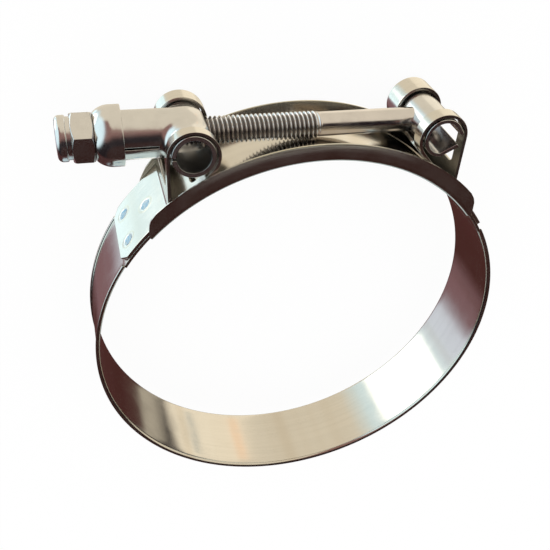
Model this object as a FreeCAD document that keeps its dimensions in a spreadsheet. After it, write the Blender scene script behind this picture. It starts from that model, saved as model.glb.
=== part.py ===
import FreeCAD, Part
import math
import os

import Sketcher

# T-bolt clamp, lying open on its edge. Z is the axis of the bore and Y points from it to the bolt.
# Angles round the band are measured from the Y axis, positive towards the bolt's T head at +X.

SIZES = [
    ("bore_radius", 51.0, "radius of the bridge's inner face, clamp open"),
    ("bridge_wall", 0.42, "sheet of the bridge"),
    ("bridge_seat_gap", 0.03, "play between bridge and band"),
    ("bridge_left_angle", 47.0, "end of the bridge on the nut's side"),
    ("bridge_right_angle", 49.5, "end of the bridge on the T head's side"),
    ("bridge_bend", 0.35, "inner radius of the bends between web and flanges"),
    ("flange_height", 4.2, "top of the flanges above the bore"),
    ("flange_side_gap", 0.3, "play between the band's edge and a flange"),
    ("flange_corner_run", 5.4, "length that the flange's rounded end takes along the band"),
    ("flange_end_run", 2.6, "setback of the flange's end below that corner"),
    ("flange_end_rise", 3.3, "height above the bore where the end turns into the corner"),
    ("strap_thickness", 0.7, "sheet of the band"),
    ("strap_width", 20.6, "width of the band and its loops"),
    ("lip_radius", 1.2, "radius of the band's curled edges on the bore side"),
    ("lip_end_angle", 57.6, "where the curled edges stop at the folded ends"),
    ("tail_end_angle", 57.1, "where the folded ends stop"),
    ("tail_corner", 2.2, "chamfer on a folded end's corners"),
    ("tail_gap", 0.06, "gap between the two layers at the welds"),
    ("leg_bend_radius", 1.3, "bend where the loop's outer leg meets the band"),
    ("pivot_offset", 28.0, "either trunnion's distance from the middle plane"),
    ("loop_clearance", 0.35, "radial play of the cross tube in its loop"),
    ("loop_drop", 0.2, "how far a loop's centre lies below the trunnion's, which hangs in its play"),
    ("slot_width", 12.5, "cut-out between the two ears of a loop"),
    ("slot_drop", 8.0, "lower end of the cut-out below the loop's centre"),
    ("slot_corner", 1.5, "rounded corners at the lower end of the cut-out"),
    ("weld_diameter", 3.0, "spot weld mark"),
    ("weld_dent", 0.15, "depth of a spot weld mark"),
    ("weld_rim", 0.3, "width of the mark's ring outside its nugget"),
    ("weld_far_angle", 53.2, "pair of welds near the folded end"),
    ("weld_near_angle", 45.4, "single weld near the loop"),
    ("weld_spread", 5.3, "distance of either weld of the pair from the band's middle"),
    ("bolt_diameter", 6.0, "major diameter of the bolt's thread"),
    ("bolt_web_gap", 0.06, "play between the bolt and the bridge's web"),
    ("shank_diameter", 5.4, "plain part of the bolt"),
    ("bolt_tip_inset", 0.6, "how far the bolt's tip lies inside the nut's outer end"),
    ("bolt_head_end", 2.0, "bolt's end beyond the T head's axis"),
    ("bolt_crown", 1.3, "height of the bolt's domed end in the T head"),
    ("thread_length", 56.3, "threaded part of the bolt"),
    ("bolt_tip_chamfer", 0.7, "chamfer at the bolt's tip"),
    ("thread_play", 0.05, "radial play of nut and locking ring on the bolt"),
    ("tube_diameter", 9.4, "outside of the tee's cross tube"),
    ("tube_wall", 1.1, "sheet of the tee"),
    ("trunnion_overhang", 0.15, "how far the cross tube and the T head stand out past the loops"),
    ("tube_seam", 0.5, "open seam of the cross tube"),
    ("neck_step", 0.45, "how far the tee's neck stands out past the cross tube, on the radius"),
    ("neck_diameter", "=tube_diameter + 2 * neck_step", "outside of the tee's neck"),
    ("neck_length", 18.1, "end of the neck from the tee's axis"),
    ("neck_seam", 0.8, "open seam along the neck"),
    ("neck_seam_angle", 48.0, "the neck's seam, from straight down towards the front"),
    ("neck_blend", 1.6, "fillet between neck and cross tube"),
    ("tee_hole_diameter", 7.6, "hole where the bolt leaves the tee"),
    ("cap_fit", 0.1, "radial play of the cap on the neck"),
    ("cap_wall", 1.15, "wall of the pressed cap"),
    ("cap_diameter", "=neck_diameter + 2 * (cap_fit + cap_wall)", "outside of the cap"),
    ("cap_length", 6.5, "length of the cap"),
    ("cap_floor", 1.0, "floor of the cap under the nut"),
    ("cap_hole_play", 0.4, "radial play of the bolt in the cap's hole"),
    ("cap_face_radius", 4.9, "flat face that the nut bears on"),
    ("cap_dome_length", 3.5, "rounded part of the cap"),
    ("nut_flats", 10.0, "width across the nut's flats"),
    ("nut_hex_length", 4.6, "length of the hexagon"),
    ("nut_chamfer", 0.9, "length of the chamfers on the hexagon"),
    ("nut_face_diameter", 9.7, "round face at either end of the hexagon"),
    ("nut_chamfer_rise", 1.2, "how far a chamfer's cone rises over its length"),
    ("nut_corner_angle", 48.6, "corner that shows, from up towards the front"),
    ("nut_seat_gap", 0.05, "play between nut and cap"),
    ("collar_diameter", 9.5, "collar that holds the locking ring"),
    ("collar_length", 2.6, "length of the collar"),
    ("collar_round", 1.1, "rounded outer edge of the collar"),
    ("collar_mouth_diameter", 7.2, "opening of the collar's crimped end"),
    ("collar_groove_depth", 0.35, "depth of the groove between hexagon and collar"),
    ("collar_groove_width", 0.95, "width of that groove"),
    ("collar_edge", 0.2, "bevel between that groove and the collar"),
    ("ring_diameter", 8.0, "outside of the locking ring"),
    ("ring_length", 1.6, "length of the locking ring"),
    ("ring_fit", 0.02, "play of the locking ring in its collar"),
    ("ring_set_in", 0.1, "start of the locking ring past the hexagon"),
    ("head_slack", 0.2, "how far the T head stands inside the cross tube's outline, on the radius"),
    ("head_diameter", "=tube_diameter - 2 * head_slack", "outside of the rolled T head"),
    ("head_wall", 0.9, "sheet of the T head"),
    ("head_upper_angle", 34.0, "where the roll's upper side runs straight"),
    ("head_upper_lip", 1.9, "straight length of the upper side"),
    ("head_lower_angle", 98.0, "where the roll's lower side bends, below the axis"),
    ("head_lower_bend", 1.5, "radius of that bend"),
    ("head_lower_turn", 36.0, "angle that the lower side turns there"),
    ("head_lower_lip", 4.1, "straight length of the lower side"),
    ("head_hole_fit", 0.05, "radial play of the bolt in the T head's hole"),
]

doc = FreeCAD.newDocument("t_bolt_clamp")
sheet = doc.addObject("Spreadsheet::Sheet", "sizes")
for row, (alias, value, meaning) in enumerate(SIZES, start=1):
    sheet.set(f"A{row}", meaning)
    sheet.set(f"B{row}", str(value))
    sheet.setAlias(f"B{row}", alias)
doc.recompute()


def size(alias):
    """The value of one driving dimension."""
    return float(sheet.get(alias))


def vec(x, y, z=0.0):
    return FreeCAD.Vector(x, y, z)


def polar(radius, angle):
    """Point at an angle from the Y axis, positive towards +X."""
    return vec(radius * math.sin(math.radians(angle)), radius * math.cos(math.radians(angle)))


def round_axis(radius, angle):
    """Point at a radius and an ordinary anticlockwise angle from +X."""
    return vec(radius * math.cos(math.radians(angle)), radius * math.sin(math.radians(angle)))


# Places that several pieces share
BAND_INNER = size("bore_radius") + size("bridge_wall") + size("bridge_seat_gap")
BAND_MIDDLE = BAND_INNER + size("strap_thickness") / 2
LAYER_STEP = size("strap_thickness") + size("tail_gap")
TAIL_OUTER = BAND_INNER + LAYER_STEP + size("strap_thickness")
PIVOT_HEIGHT = (size("bore_radius") + size("bridge_wall") + size("bolt_web_gap")
                + size("bolt_diameter") / 2)
LOOP_MIDDLE = size("tube_diameter") / 2 + size("loop_clearance") + size("strap_thickness") / 2
TEE_PIVOT = vec(-size("pivot_offset"), PIVOT_HEIGHT)
HEAD_PIVOT = vec(size("pivot_offset"), PIVOT_HEIGHT)
LOOP_CENTRE = HEAD_PIVOT - vec(0, size("loop_drop"))
FLANGE_OUTSIDE = size("strap_width") / 2 + size("flange_side_gap") + size("bridge_wall")
TUBE_LENGTH = size("strap_width") + 2 * size("trunnion_overhang")
TUBE_LENGTH_RULE = "sizes.strap_width + 2 * sizes.trunnion_overhang"
NUT_FACE = -(size("neck_length") + size("cap_fit") + size("cap_floor") + size("nut_seat_gap"))
NUT_END = NUT_FACE - size("nut_hex_length") - size("collar_length")
RING_START = NUT_FACE - size("nut_hex_length") - size("ring_set_in")
NEAR = 0.01


def line(start, end):
    return Part.LineSegment(start, end)


def arc(centre, radius, first, last):
    """Arc between two anticlockwise angles from +X, run from the first to the last."""
    middle = (first + last) / 2
    points = [centre + round_axis(radius, a) for a in (first, middle, last)]
    return Part.Arc(*points)


def origin_plane(body, role):
    return next(f for f in body.Origin.OriginFeatures if f.Role == role)


def new_body(label):
    body = doc.addObject("PartDesign::Body", label + "_body")
    body.Label = label
    return body


def new_sketch(body, role, name, segments):
    sketch = body.newObject("Sketcher::SketchObject", name)
    sketch.AttachmentSupport = [(origin_plane(body, role), "")]
    sketch.MapMode = "FlatFace"
    for segment in segments:
        sketch.addGeometry(segment, False)
    return sketch


def polygon(points):
    return [line(a, b) for a, b in zip(points, points[1:] + points[:1])]


def bind(obj, prop, expression):
    obj.setExpression(prop, expression)


def strip_face(path, half):
    """Flat strip of constant thickness along lines and arcs that run on smoothly.

    A path item is ("line", start, end) or ("arc", centre, radius, first, last).
    """
    left, right = [], []
    for item in path:
        if item[0] == "line":
            start, end = item[1], item[2]
            along = (end - start).normalize()
            side = vec(-along.y, along.x) * half
            left.append(line(start + side, end + side))
            right.append(line(start - side, end - side))
        else:
            centre, radius, first, last = item[1:]
            towards = -half if last > first else half
            left.append(arc(centre, radius + towards, first, last))
            right.append(arc(centre, radius - towards, first, last))
    caps = [line(left[-1].EndPoint, right[-1].EndPoint), line(right[0].StartPoint, left[0].StartPoint)]
    edges = [g.toShape() for g in left + right + caps]
    return Part.Face(Part.Wire(Part.__sortEdges__(edges)))


def feature(name, shape):
    obj = doc.addObject("Part::Feature", name)
    obj.Shape = shape
    return obj


def join(name, parts):
    obj = doc.addObject("Part::MultiFuse", name)
    obj.Shapes = parts
    obj.Refine = True
    return obj


def cut(name, base, tool):
    obj = doc.addObject("Part::Cut", name)
    obj.Base = base
    obj.Tool = tool
    obj.Refine = True
    return obj


def extrusion(name, base, expression):
    obj = doc.addObject("Part::Extrusion", name)
    obj.Base = base
    obj.DirMode = "Custom"
    obj.Dir = vec(0, 0, 1)
    obj.Solid = True
    obj.Symmetric = True
    bind(obj, "LengthFwd", expression)
    return obj


def placed(obj, place, direction=None):
    """Set an object at a place, its own Z axis turned to a direction."""
    turn = FreeCAD.Rotation(vec(0, 0, 1), direction) if direction else FreeCAD.Rotation()
    obj.Placement = FreeCAD.Placement(place, turn)
    return obj


def cylinder(name, radius, height, place, direction):
    obj = doc.addObject("Part::Cylinder", name)
    bind(obj, "Radius", radius)
    bind(obj, "Height", height)
    return placed(obj, place, direction)


# Band: a sprung ring with curled edges whose ends are folded back over the trunnions

def lipped_section():
    """Section of the ring, drawn with X as the radius and Y as the clamp's Z."""
    curl, sheet_metal = size("lip_radius"), size("strap_thickness")
    edge = size("strap_width") / 2
    inner, tip = BAND_INNER, BAND_INNER + curl
    low, high = -edge + curl, edge - curl
    return [
        line(vec(inner, low), vec(inner, high)),
        arc(vec(tip, high), curl, 180, 90),
        line(vec(tip, edge), vec(tip, edge - sheet_metal)),
        arc(vec(tip, high), curl - sheet_metal, 90, 180),
        line(vec(inner + sheet_metal, high), vec(inner + sheet_metal, low)),
        arc(vec(tip, low), curl - sheet_metal, 180, 270),
        line(vec(tip, sheet_metal - edge), vec(tip, -edge)),
        arc(vec(tip, low), curl, 270, 180),
    ]


def loop_path():
    """Middle line of the folded end on the T head's side, from the ring round the loop to its tail."""
    pivot = LOOP_CENTRE
    spread = math.degrees(math.acos((BAND_MIDDLE + LOOP_MIDDLE) / pivot.Length))
    leave = math.degrees(math.atan2(pivot.x, pivot.y)) + spread
    outward = polar(1, leave)
    back = vec(outward.y, -outward.x)
    tail_middle = BAND_MIDDLE + LAYER_STEP
    tail_start = polar(tail_middle, leave)
    leg_x = pivot.x + LOOP_MIDDLE
    corner = tail_start - back * ((tail_start.x - leg_x) / back.x)
    bend, turn = size("leg_bend_radius"), 90 - leave
    trim = bend * math.tan(math.radians(turn / 2))
    bend_start = corner + vec(0, trim)
    bend_centre = bend_start + vec(bend, 0)
    last_weld = size("weld_far_angle")
    tail_run = tail_middle * math.tan(math.radians(size("tail_end_angle") - last_weld))
    tail_bend = polar(tail_middle, last_weld)
    along = vec(tail_bend.y, -tail_bend.x).normalize()
    return [
        ("arc", vec(0, 0), BAND_MIDDLE, 90 - size("lip_end_angle"), 90 - leave),
        ("line", polar(BAND_MIDDLE, leave), pivot - outward * LOOP_MIDDLE),
        ("arc", pivot, LOOP_MIDDLE, 270 - leave, 0),
        ("line", vec(leg_x, pivot.y), bend_start),
        ("arc", bend_centre, bend, 180, 180 + turn),
        ("line", corner + back * trim, tail_start),
        ("arc", vec(0, 0), tail_middle, 90 - leave, 90 - last_weld),
        ("line", tail_bend, tail_bend + along * tail_run),
    ]


def corner_cutter(name, front):
    """Wedge that chamfers one corner of the tail."""
    chamfer, edge = size("tail_corner"), front * size("strap_width") / 2
    reach = TAIL_OUTER * math.tan(math.radians(size("tail_end_angle") - size("weld_far_angle")))
    inside, outside = edge - front * chamfer, edge + front * chamfer
    points = [vec(0, inside), vec(-chamfer, edge), vec(-chamfer, outside),
              vec(chamfer, outside), vec(chamfer, inside)]
    face = Part.Face(Part.makePolygon(points + points[:1]))
    wedge = face.extrude(vec(0, 0, 2 * size("strap_thickness")))
    turn = FreeCAD.Matrix()
    radial = polar(1, size("weld_far_angle"))
    along = vec(radial.y, -radial.x)
    start = radial * (BAND_INNER + LAYER_STEP - size("tail_gap") / 2) + along * reach
    turn.A11, turn.A21, turn.A31 = along.x, along.y, 0
    turn.A12, turn.A22, turn.A32 = 0, 0, 1
    turn.A13, turn.A23, turn.A33 = radial.x, radial.y, 0
    turn.A14, turn.A24, turn.A34 = start.x, start.y, 0
    return feature(name, wedge.transformGeometry(turn))


def make_slot():
    """Cut-out between the ears of the loop, drawn along X with its lower corners rounded."""
    reach = LOOP_MIDDLE + 2 * size("strap_thickness")
    half, corner, low = size("slot_width") / 2, size("slot_corner"), -size("slot_drop")
    outline = [
        line(vec(reach, -half), vec(reach, half)),
        line(vec(reach, half), vec(low + corner, half)),
        arc(vec(low + corner, half - corner), corner, 90, 180),
        line(vec(low, half - corner), vec(low, corner - half)),
        arc(vec(low + corner, corner - half), corner, 180, 270),
        line(vec(low + corner, -half), vec(reach, -half)),
    ]
    face = Part.Face(Part.Wire(Part.__sortEdges__([g.toShape() for g in outline])))
    slot = extrusion("slot", feature("slot_outline", face), "4 * sizes.pivot_offset")
    turn = FreeCAD.Rotation(vec(0, 1, 0), vec(0, 0, 1), vec(1, 0, 0), "XYZ")
    slot.Placement = FreeCAD.Placement(LOOP_CENTRE, turn)
    return slot


def weld_places():
    """Angle and Z of the three spot welds on a folded end."""
    spread = size("weld_spread")
    return [(size("weld_near_angle"), 0.0), (size("weld_far_angle"), spread),
            (size("weld_far_angle"), -spread)]


def make_band():
    section = doc.addObject("Sketcher::SketchObject", "lipped_section")
    section.Placement = FreeCAD.Placement(vec(0, 0), FreeCAD.Rotation(vec(1, 0, 0), 90))
    for segment in lipped_section():
        section.addGeometry(segment, False)
    ring = doc.addObject("Part::Revolution", "lipped_ring")
    ring.Source = section
    ring.Axis = vec(0, 0, 1)
    ring.Solid = True
    bind(ring, "Angle", "360 - 2 * sizes.lip_end_angle")
    ring.Placement = FreeCAD.Placement(vec(0, 0), FreeCAD.Rotation(vec(0, 0, 1), 90 + size("lip_end_angle")))

    outline = feature("folded_end_outline", strip_face(loop_path(), size("strap_thickness") / 2))
    folded = extrusion("folded_end", outline, "sizes.strap_width")
    slot = make_slot()
    corners = [corner_cutter("front_tail_corner", 1), corner_cutter("rear_tail_corner", -1)]
    dents, nuggets = [], []
    for number, (angle, z) in enumerate(weld_places(), start=1):
        out = polar(1, angle)
        dents.append(cylinder(f"weld_dent_{number}", "sizes.weld_diameter / 2", "sizes.strap_thickness",
                              out * (TAIL_OUTER - size("weld_dent")) + vec(0, 0, z), out))
        nuggets.append(cylinder(f"weld_nugget_{number}", "sizes.weld_diameter / 2 - sizes.weld_rim",
                                "sizes.strap_thickness + sizes.tail_gap",
                                out * BAND_MIDDLE + vec(0, 0, z), out))
    blank = join("welded_end", [folded] + nuggets)
    right = cut("right_end", blank, join("end_cutters", [slot] + corners + dents))
    left = doc.addObject("Part::Mirroring", "left_end")
    left.Source = right
    left.Normal = vec(1, 0, 0)
    band = join("band", [ring, right, left])
    return band


# Bridge: a channel inside the band that spans the gap between the loops

def channel_section():
    """Section of the bridge, drawn with X as the radius and Y as the clamp's Z."""
    inner, sheet_metal = size("bore_radius"), size("bridge_wall")
    bend = size("bridge_bend")
    outside, top = FLANGE_OUTSIDE, inner + size("flange_height")
    edge, knee = outside - bend - sheet_metal, inner + bend + sheet_metal
    return [
        line(vec(inner, -edge), vec(inner, edge)),
        arc(vec(knee, edge), bend + sheet_metal, 180, 90),
        line(vec(knee, outside), vec(top, outside)),
        line(vec(top, outside), vec(top, outside - sheet_metal)),
        line(vec(top, outside - sheet_metal), vec(knee, outside - sheet_metal)),
        arc(vec(knee, edge), bend, 90, 180),
        line(vec(inner + sheet_metal, edge), vec(inner + sheet_metal, -edge)),
        arc(vec(knee, -edge), bend, 180, 270),
        line(vec(knee, sheet_metal - outside), vec(top, sheet_metal - outside)),
        line(vec(top, sheet_metal - outside), vec(top, -outside)),
        line(vec(top, -outside), vec(knee, -outside)),
        arc(vec(knee, -edge), bend + sheet_metal, 270, 180),
    ]


def flange_end_cutter(name, end, side):
    """Prism that trims both flanges to their rounded end at one end of the bridge."""
    bore, rise = size("bore_radius"), size("flange_end_rise")
    spare = size("flange_height")
    foot = bore + size("bridge_wall") + size("bridge_bend")
    setback = math.degrees(size("flange_end_run") / (bore + rise))
    corner = math.degrees(size("flange_corner_run") / (bore + size("flange_height")))
    outline = [(foot, end + setback), (foot, end), (bore + rise, end - setback),
               (bore + size("flange_height"), end - corner),
               (bore + size("flange_height") + spare, end - corner),
               (bore + size("flange_height") + spare, end + setback)]
    points = [polar(radius, side * angle) for radius, angle in outline]
    face = Part.Face(Part.makePolygon(points + points[:1]))
    return extrusion(name, feature(name + "_outline", face), "2 * sizes.strap_width")


def make_bridge():
    body = new_body("bridge_channel")
    section = new_sketch(body, "XZ_Plane", "channel_section", channel_section())
    sweep = body.newObject("PartDesign::Revolution", "channel")
    sweep.Profile = section
    sweep.ReferenceAxis = (section, ["V_Axis"])
    bind(sweep, "Angle", "sizes.bridge_left_angle + sizes.bridge_right_angle")
    body.Placement = FreeCAD.Placement(
        vec(0, 0), FreeCAD.Rotation(vec(0, 0, 1), 90 - size("bridge_right_angle")))
    doc.recompute()
    middle = body.Shape.CenterOfMass
    if middle.y < 0 or abs(middle.x) > size("bore_radius") / 4:
        sweep.Reversed = True
    cutters = [flange_end_cutter("left_flange_end", size("bridge_left_angle"), -1),
               flange_end_cutter("right_flange_end", size("bridge_right_angle"), 1)]
    bridge = cut("bridge", body, join("flange_ends", cutters))
    return bridge


# Tee: a rolled cross tube with a neck towards the nut, both open along a seam

def make_tee():
    left, right, up = vec(-1, 0), vec(1, 0), vec(0, 0, 1)
    half = TUBE_LENGTH / 2
    tube = cylinder("cross_tube", "sizes.tube_diameter / 2", TUBE_LENGTH_RULE, vec(0, 0, -half), up)
    neck = cylinder("neck", "sizes.neck_diameter / 2", "sizes.neck_length", vec(0, 0), left)
    ball = doc.addObject("Part::Sphere", "tee_shoulder")
    bind(ball, "Radius", "sizes.neck_diameter / 2")
    outside = join("tee_outside", [tube, neck, ball])
    doc.recompute()
    blend = doc.addObject("Part::Fillet", "tee_blend")
    blend.Base = outside
    radius = size("neck_blend")
    blend.Edges = [(number, radius, radius) for number, edge in enumerate(outside.Shape.Edges, start=1)
                   if is_junction(edge)]
    spare = size("tube_wall")
    bore = cylinder("tube_bore", "sizes.tube_diameter / 2 - sizes.tube_wall",
                    TUBE_LENGTH_RULE + " + 2 * sizes.tube_wall", vec(0, 0, -half - spare), up)
    neck_bore = cylinder("neck_bore", "sizes.neck_diameter / 2 - sizes.tube_wall",
                         "sizes.neck_length + sizes.tube_wall", vec(0, 0), left)
    exit_hole = cylinder("exit_hole", "sizes.tee_hole_diameter / 2", "sizes.tube_diameter",
                         vec(0, 0), right)
    hollow = join("tee_hollow", [bore, neck_bore, exit_hole] + seam_cutters())
    tee = cut("tee", blend, hollow)
    tee.Placement = FreeCAD.Placement(TEE_PIVOT, FreeCAD.Rotation())
    return tee


def is_junction(edge):
    """Edges where the neck or its shoulder meets the cross tube."""
    box = edge.BoundBox
    reach = size("neck_diameter") / 2
    inside = box.ZMin > -reach - NEAR and box.ZMax < reach + NEAR
    beyond_shoulder = box.XMin < -reach - NEAR
    return inside and not beyond_shoulder and box.ZLength > NEAR


def seam_cutters():
    """Slots for the open seams: one along the neck, one at either end of the cross tube."""
    half, spare, ear = TUBE_LENGTH / 2, size("tube_wall"), size("slot_width") / 2
    slot = doc.addObject("Part::Box", "neck_seam")
    bind(slot, "Length", "sizes.neck_length - sizes.tube_diameter / 2 - sizes.neck_blend")
    bind(slot, "Width", "sizes.neck_seam")
    bind(slot, "Height", "sizes.neck_diameter")
    turn = FreeCAD.Rotation(vec(1, 0, 0), 90 - size("neck_seam_angle"))
    corner = turn.multVec(vec(0, -size("neck_seam") / 2, 0))
    slot.Placement = FreeCAD.Placement(vec(-size("neck_length") - spare, 0) + corner, turn)
    seams = [slot]
    for name, low in (("front_tube_seam", ear), ("rear_tube_seam", -half - spare)):
        box = doc.addObject("Part::Box", name)
        bind(box, "Length", "sizes.tube_diameter / 2 + sizes.tube_wall")
        bind(box, "Width", "sizes.tube_seam")
        bind(box, "Height", f"({TUBE_LENGTH_RULE} - sizes.slot_width) / 2 + sizes.tube_wall")
        box.Placement = FreeCAD.Placement(
            vec(-size("tube_diameter") / 2 - spare, -size("tube_seam"), low), FreeCAD.Rotation())
        seams.append(box)
    return seams


# Cap: a pressed cup over the end of the neck that the nut bears on

def make_cap():
    outside, fit = size("cap_diameter") / 2, size("neck_diameter") / 2 + size("cap_fit")
    inner_floor = -size("neck_length") - size("cap_fit")
    floor = inner_floor - size("cap_floor")
    rim = floor + size("cap_length")
    hole = size("bolt_diameter") / 2 + size("cap_hole_play")
    face, dome_length = size("cap_face_radius"), size("cap_dome_length")
    dome, rise = floor + dome_length, outside - face
    dome_radius = (dome_length ** 2 + rise ** 2) / (2 * rise)
    dome_start = 90 + math.degrees(math.asin(dome_length / dome_radius))
    profile = [
        line(vec(floor, hole), vec(floor, face)),
        arc(vec(dome, outside - dome_radius), dome_radius, dome_start, 90),
        line(vec(dome, outside), vec(rim, outside)),
        line(vec(rim, outside), vec(rim, fit)),
        line(vec(rim, fit), vec(inner_floor, fit)),
        line(vec(inner_floor, fit), vec(inner_floor, hole)),
        line(vec(inner_floor, hole), vec(floor, hole)),
    ]
    return turned_piece("cap", profile, TEE_PIVOT)


def turned_piece(label, profile, place):
    """A body turned about its own X axis."""
    body = new_body(label)
    sketch = new_sketch(body, "XY_Plane", label + "_profile", profile)
    turned = body.newObject("PartDesign::Revolution", label + "_turned")
    turned.Profile = sketch
    turned.ReferenceAxis = (sketch, ["H_Axis"])
    turned.Angle = 360
    body.Placement = FreeCAD.Placement(place, FreeCAD.Rotation())
    return body


# Nut: a hexagon with a crimped collar that holds a locking ring

def make_nut():
    start, end = NUT_FACE, NUT_END
    hexagon_end = start - size("nut_hex_length")
    flats, corner = size("nut_flats") / 2, size("nut_flats") / math.sqrt(3)
    chamfer, bore = size("nut_chamfer"), size("bolt_diameter") / 2 + size("thread_play")
    shoulder, rise = size("nut_face_diameter") / 2, size("nut_chamfer_rise")
    collar, rounding = size("collar_diameter") / 2, size("collar_round")
    pocket, mouth = size("ring_diameter") / 2, size("collar_mouth_diameter") / 2
    ring_seat = RING_START
    crimp = ring_seat - size("ring_length") - size("ring_fit")
    body = new_body("nut")
    hexagon = new_sketch(body, "YZ_Plane", "hexagon", polygon(
        [round_axis(corner, size("nut_corner_angle") + 60 * k) for k in range(6)]))
    pad = body.newObject("PartDesign::Pad", "hexagon_bar")
    pad.Profile = hexagon
    bind(pad, "Length", "sizes.nut_hex_length")
    pad.Reversed = True
    hexagon.AttachmentOffset = FreeCAD.Placement(vec(0, 0, start), FreeCAD.Rotation())
    spare, wide = chamfer, corner + chamfer
    for name, face, inwards in (("inner_chamfer", start, -1), ("outer_chamfer", hexagon_end, 1)):
        wedge = polygon([vec(face, shoulder), vec(face + inwards * chamfer, shoulder + rise),
                         vec(face + inwards * chamfer, wide), vec(face - inwards * spare, wide),
                         vec(face - inwards * spare, shoulder)])
        profile = new_sketch(body, "XY_Plane", name + "_profile", wedge)
        groove = body.newObject("PartDesign::Groove", name)
        groove.Profile = profile
        groove.ReferenceAxis = (profile, ["H_Axis"])
        groove.Angle = 360
    neck = collar - size("collar_groove_depth")
    edge = size("collar_edge")
    groove_end, sunk = hexagon_end - size("collar_groove_width"), hexagon_end + edge
    rim_flat = collar - rounding
    collar_profile = [
        line(vec(sunk, bore), vec(sunk, neck)),
        line(vec(sunk, neck), vec(groove_end, neck)),
        line(vec(groove_end, neck), vec(groove_end - edge, collar)),
        line(vec(groove_end - edge, collar), vec(end + rounding, collar)),
        arc(vec(end + rounding, rim_flat), rounding, 90, 180),
        line(vec(end, rim_flat), vec(end, mouth)),
        line(vec(end, mouth), vec(end, bore)),
        line(vec(end, bore), vec(sunk, bore)),
    ]
    profile = new_sketch(body, "XY_Plane", "collar_profile", collar_profile)
    turned = body.newObject("PartDesign::Revolution", "collar")
    turned.Profile = profile
    turned.ReferenceAxis = (profile, ["H_Axis"])
    turned.Angle = 360
    hollow = [
        line(vec(start + spare, 0), vec(start + spare, bore)),
        line(vec(start + spare, bore), vec(ring_seat, bore)),
        line(vec(ring_seat, bore), vec(ring_seat, pocket)),
        line(vec(ring_seat, pocket), vec(crimp, pocket)),
        line(vec(crimp, pocket), vec(crimp, mouth)),
        line(vec(crimp, mouth), vec(end - spare, mouth)),
        line(vec(end - spare, mouth), vec(end - spare, 0)),
        line(vec(end - spare, 0), vec(start + spare, 0)),
    ]
    profile = new_sketch(body, "XY_Plane", "nut_hollow_profile", hollow)
    bored = body.newObject("PartDesign::Groove", "nut_hollow")
    bored.Profile = profile
    bored.ReferenceAxis = (profile, ["H_Axis"])
    bored.Angle = 360
    body.Placement = FreeCAD.Placement(TEE_PIVOT, FreeCAD.Rotation())
    return body


def make_nut_insert():
    bore = size("bolt_diameter") / 2 + size("thread_play")
    outside, start = size("ring_diameter") / 2 - size("ring_fit"), RING_START
    end = start - size("ring_length")
    profile = polygon([vec(start, bore), vec(start, outside), vec(end, outside), vec(end, bore)])
    return turned_piece("nut_insert", profile, TEE_PIVOT)


# T-bolt: a rod with a rolled thread whose plain end sits in the T head

def make_t_bolt():
    thread, shank = size("bolt_diameter") / 2, size("shank_diameter") / 2
    head_end = size("bolt_head_end")
    tip = NUT_END + size("bolt_tip_inset") - 2 * size("pivot_offset")
    runout = tip + size("thread_length")
    chamfer = size("bolt_tip_chamfer")
    step, crown = thread - shank, size("bolt_crown")
    crown_radius = (shank ** 2 + crown ** 2) / (2 * crown)
    crown_start = math.degrees(math.asin(shank / crown_radius))
    profile = [
        line(vec(tip, 0), vec(tip, thread - chamfer)),
        line(vec(tip, thread - chamfer), vec(tip + chamfer, thread)),
        line(vec(tip + chamfer, thread), vec(runout, thread)),
        line(vec(runout, thread), vec(runout + 3 * step, shank)),
        line(vec(runout + 3 * step, shank), vec(head_end - crown, shank)),
        arc(vec(head_end - crown_radius, 0), crown_radius, crown_start, 0),
        line(vec(head_end, 0), vec(tip, 0)),
    ]
    return turned_piece("t_bolt", profile, HEAD_PIVOT)


def make_t_head():
    """Sheet rolled into an open barrel, its gap turned away from the bolt."""
    outside, wall = size("head_diameter") / 2, size("head_wall")
    middle = outside - wall / 2
    first, last = size("head_upper_angle"), 360 - size("head_lower_angle")
    upper_end = round_axis(middle, first)
    upper_way = vec(upper_end.y, -upper_end.x).normalize()
    bend, turn = size("head_lower_bend"), size("head_lower_turn")
    bend_centre = round_axis(middle - bend, last)
    lower_start = bend_centre + round_axis(bend, last + turn)
    lower_way = round_axis(1, last + turn + 90)
    path = [
        ("line", upper_end + upper_way * size("head_upper_lip"), upper_end),
        ("arc", vec(0, 0), middle, first, last),
        ("arc", bend_centre, bend, last, last + turn),
        ("line", lower_start, lower_start + lower_way * size("head_lower_lip")),
    ]
    outline = feature("head_outline", strip_face(path, wall / 2))
    rolled = extrusion("rolled_head", outline, TUBE_LENGTH_RULE)
    hole = cylinder("bolt_hole", "sizes.shank_diameter / 2 + sizes.head_hole_fit", "sizes.head_diameter",
                    vec(0, 0), vec(-1, 0))
    head = cut("t_bolt_barrel", rolled, hole)
    head.Placement = FreeCAD.Placement(HEAD_PIVOT, FreeCAD.Rotation())
    return head


PIECES = {
    "band": make_band(),
    "bridge": make_bridge(),
    "tee": make_tee(),
    "cap": make_cap(),
    "nut": make_nut(),
    "nut_insert": make_nut_insert(),
    "t_bolt": make_t_bolt(),
    "t_bolt_barrel": make_t_head(),
}
doc.recompute()

for obj in doc.Objects:
    if "Invalid" in obj.State or "Error" in obj.State:
        raise RuntimeError(f"{obj.Label} failed: {obj.State}")

os.makedirs("parts", exist_ok=True)
for node, piece in PIECES.items():
    piece.Label = node
    shape = piece.Shape
    if shape.isNull() or not shape.isValid() or len(shape.Solids) != 1:
        raise RuntimeError(f"{node} isn't one valid solid: {len(shape.Solids)} solids")
    shape.exportStep(f"parts/{node}.step")
    print(node, "volume", round(shape.Volume, 2), "faces", len(shape.Faces))
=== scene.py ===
import math

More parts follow.
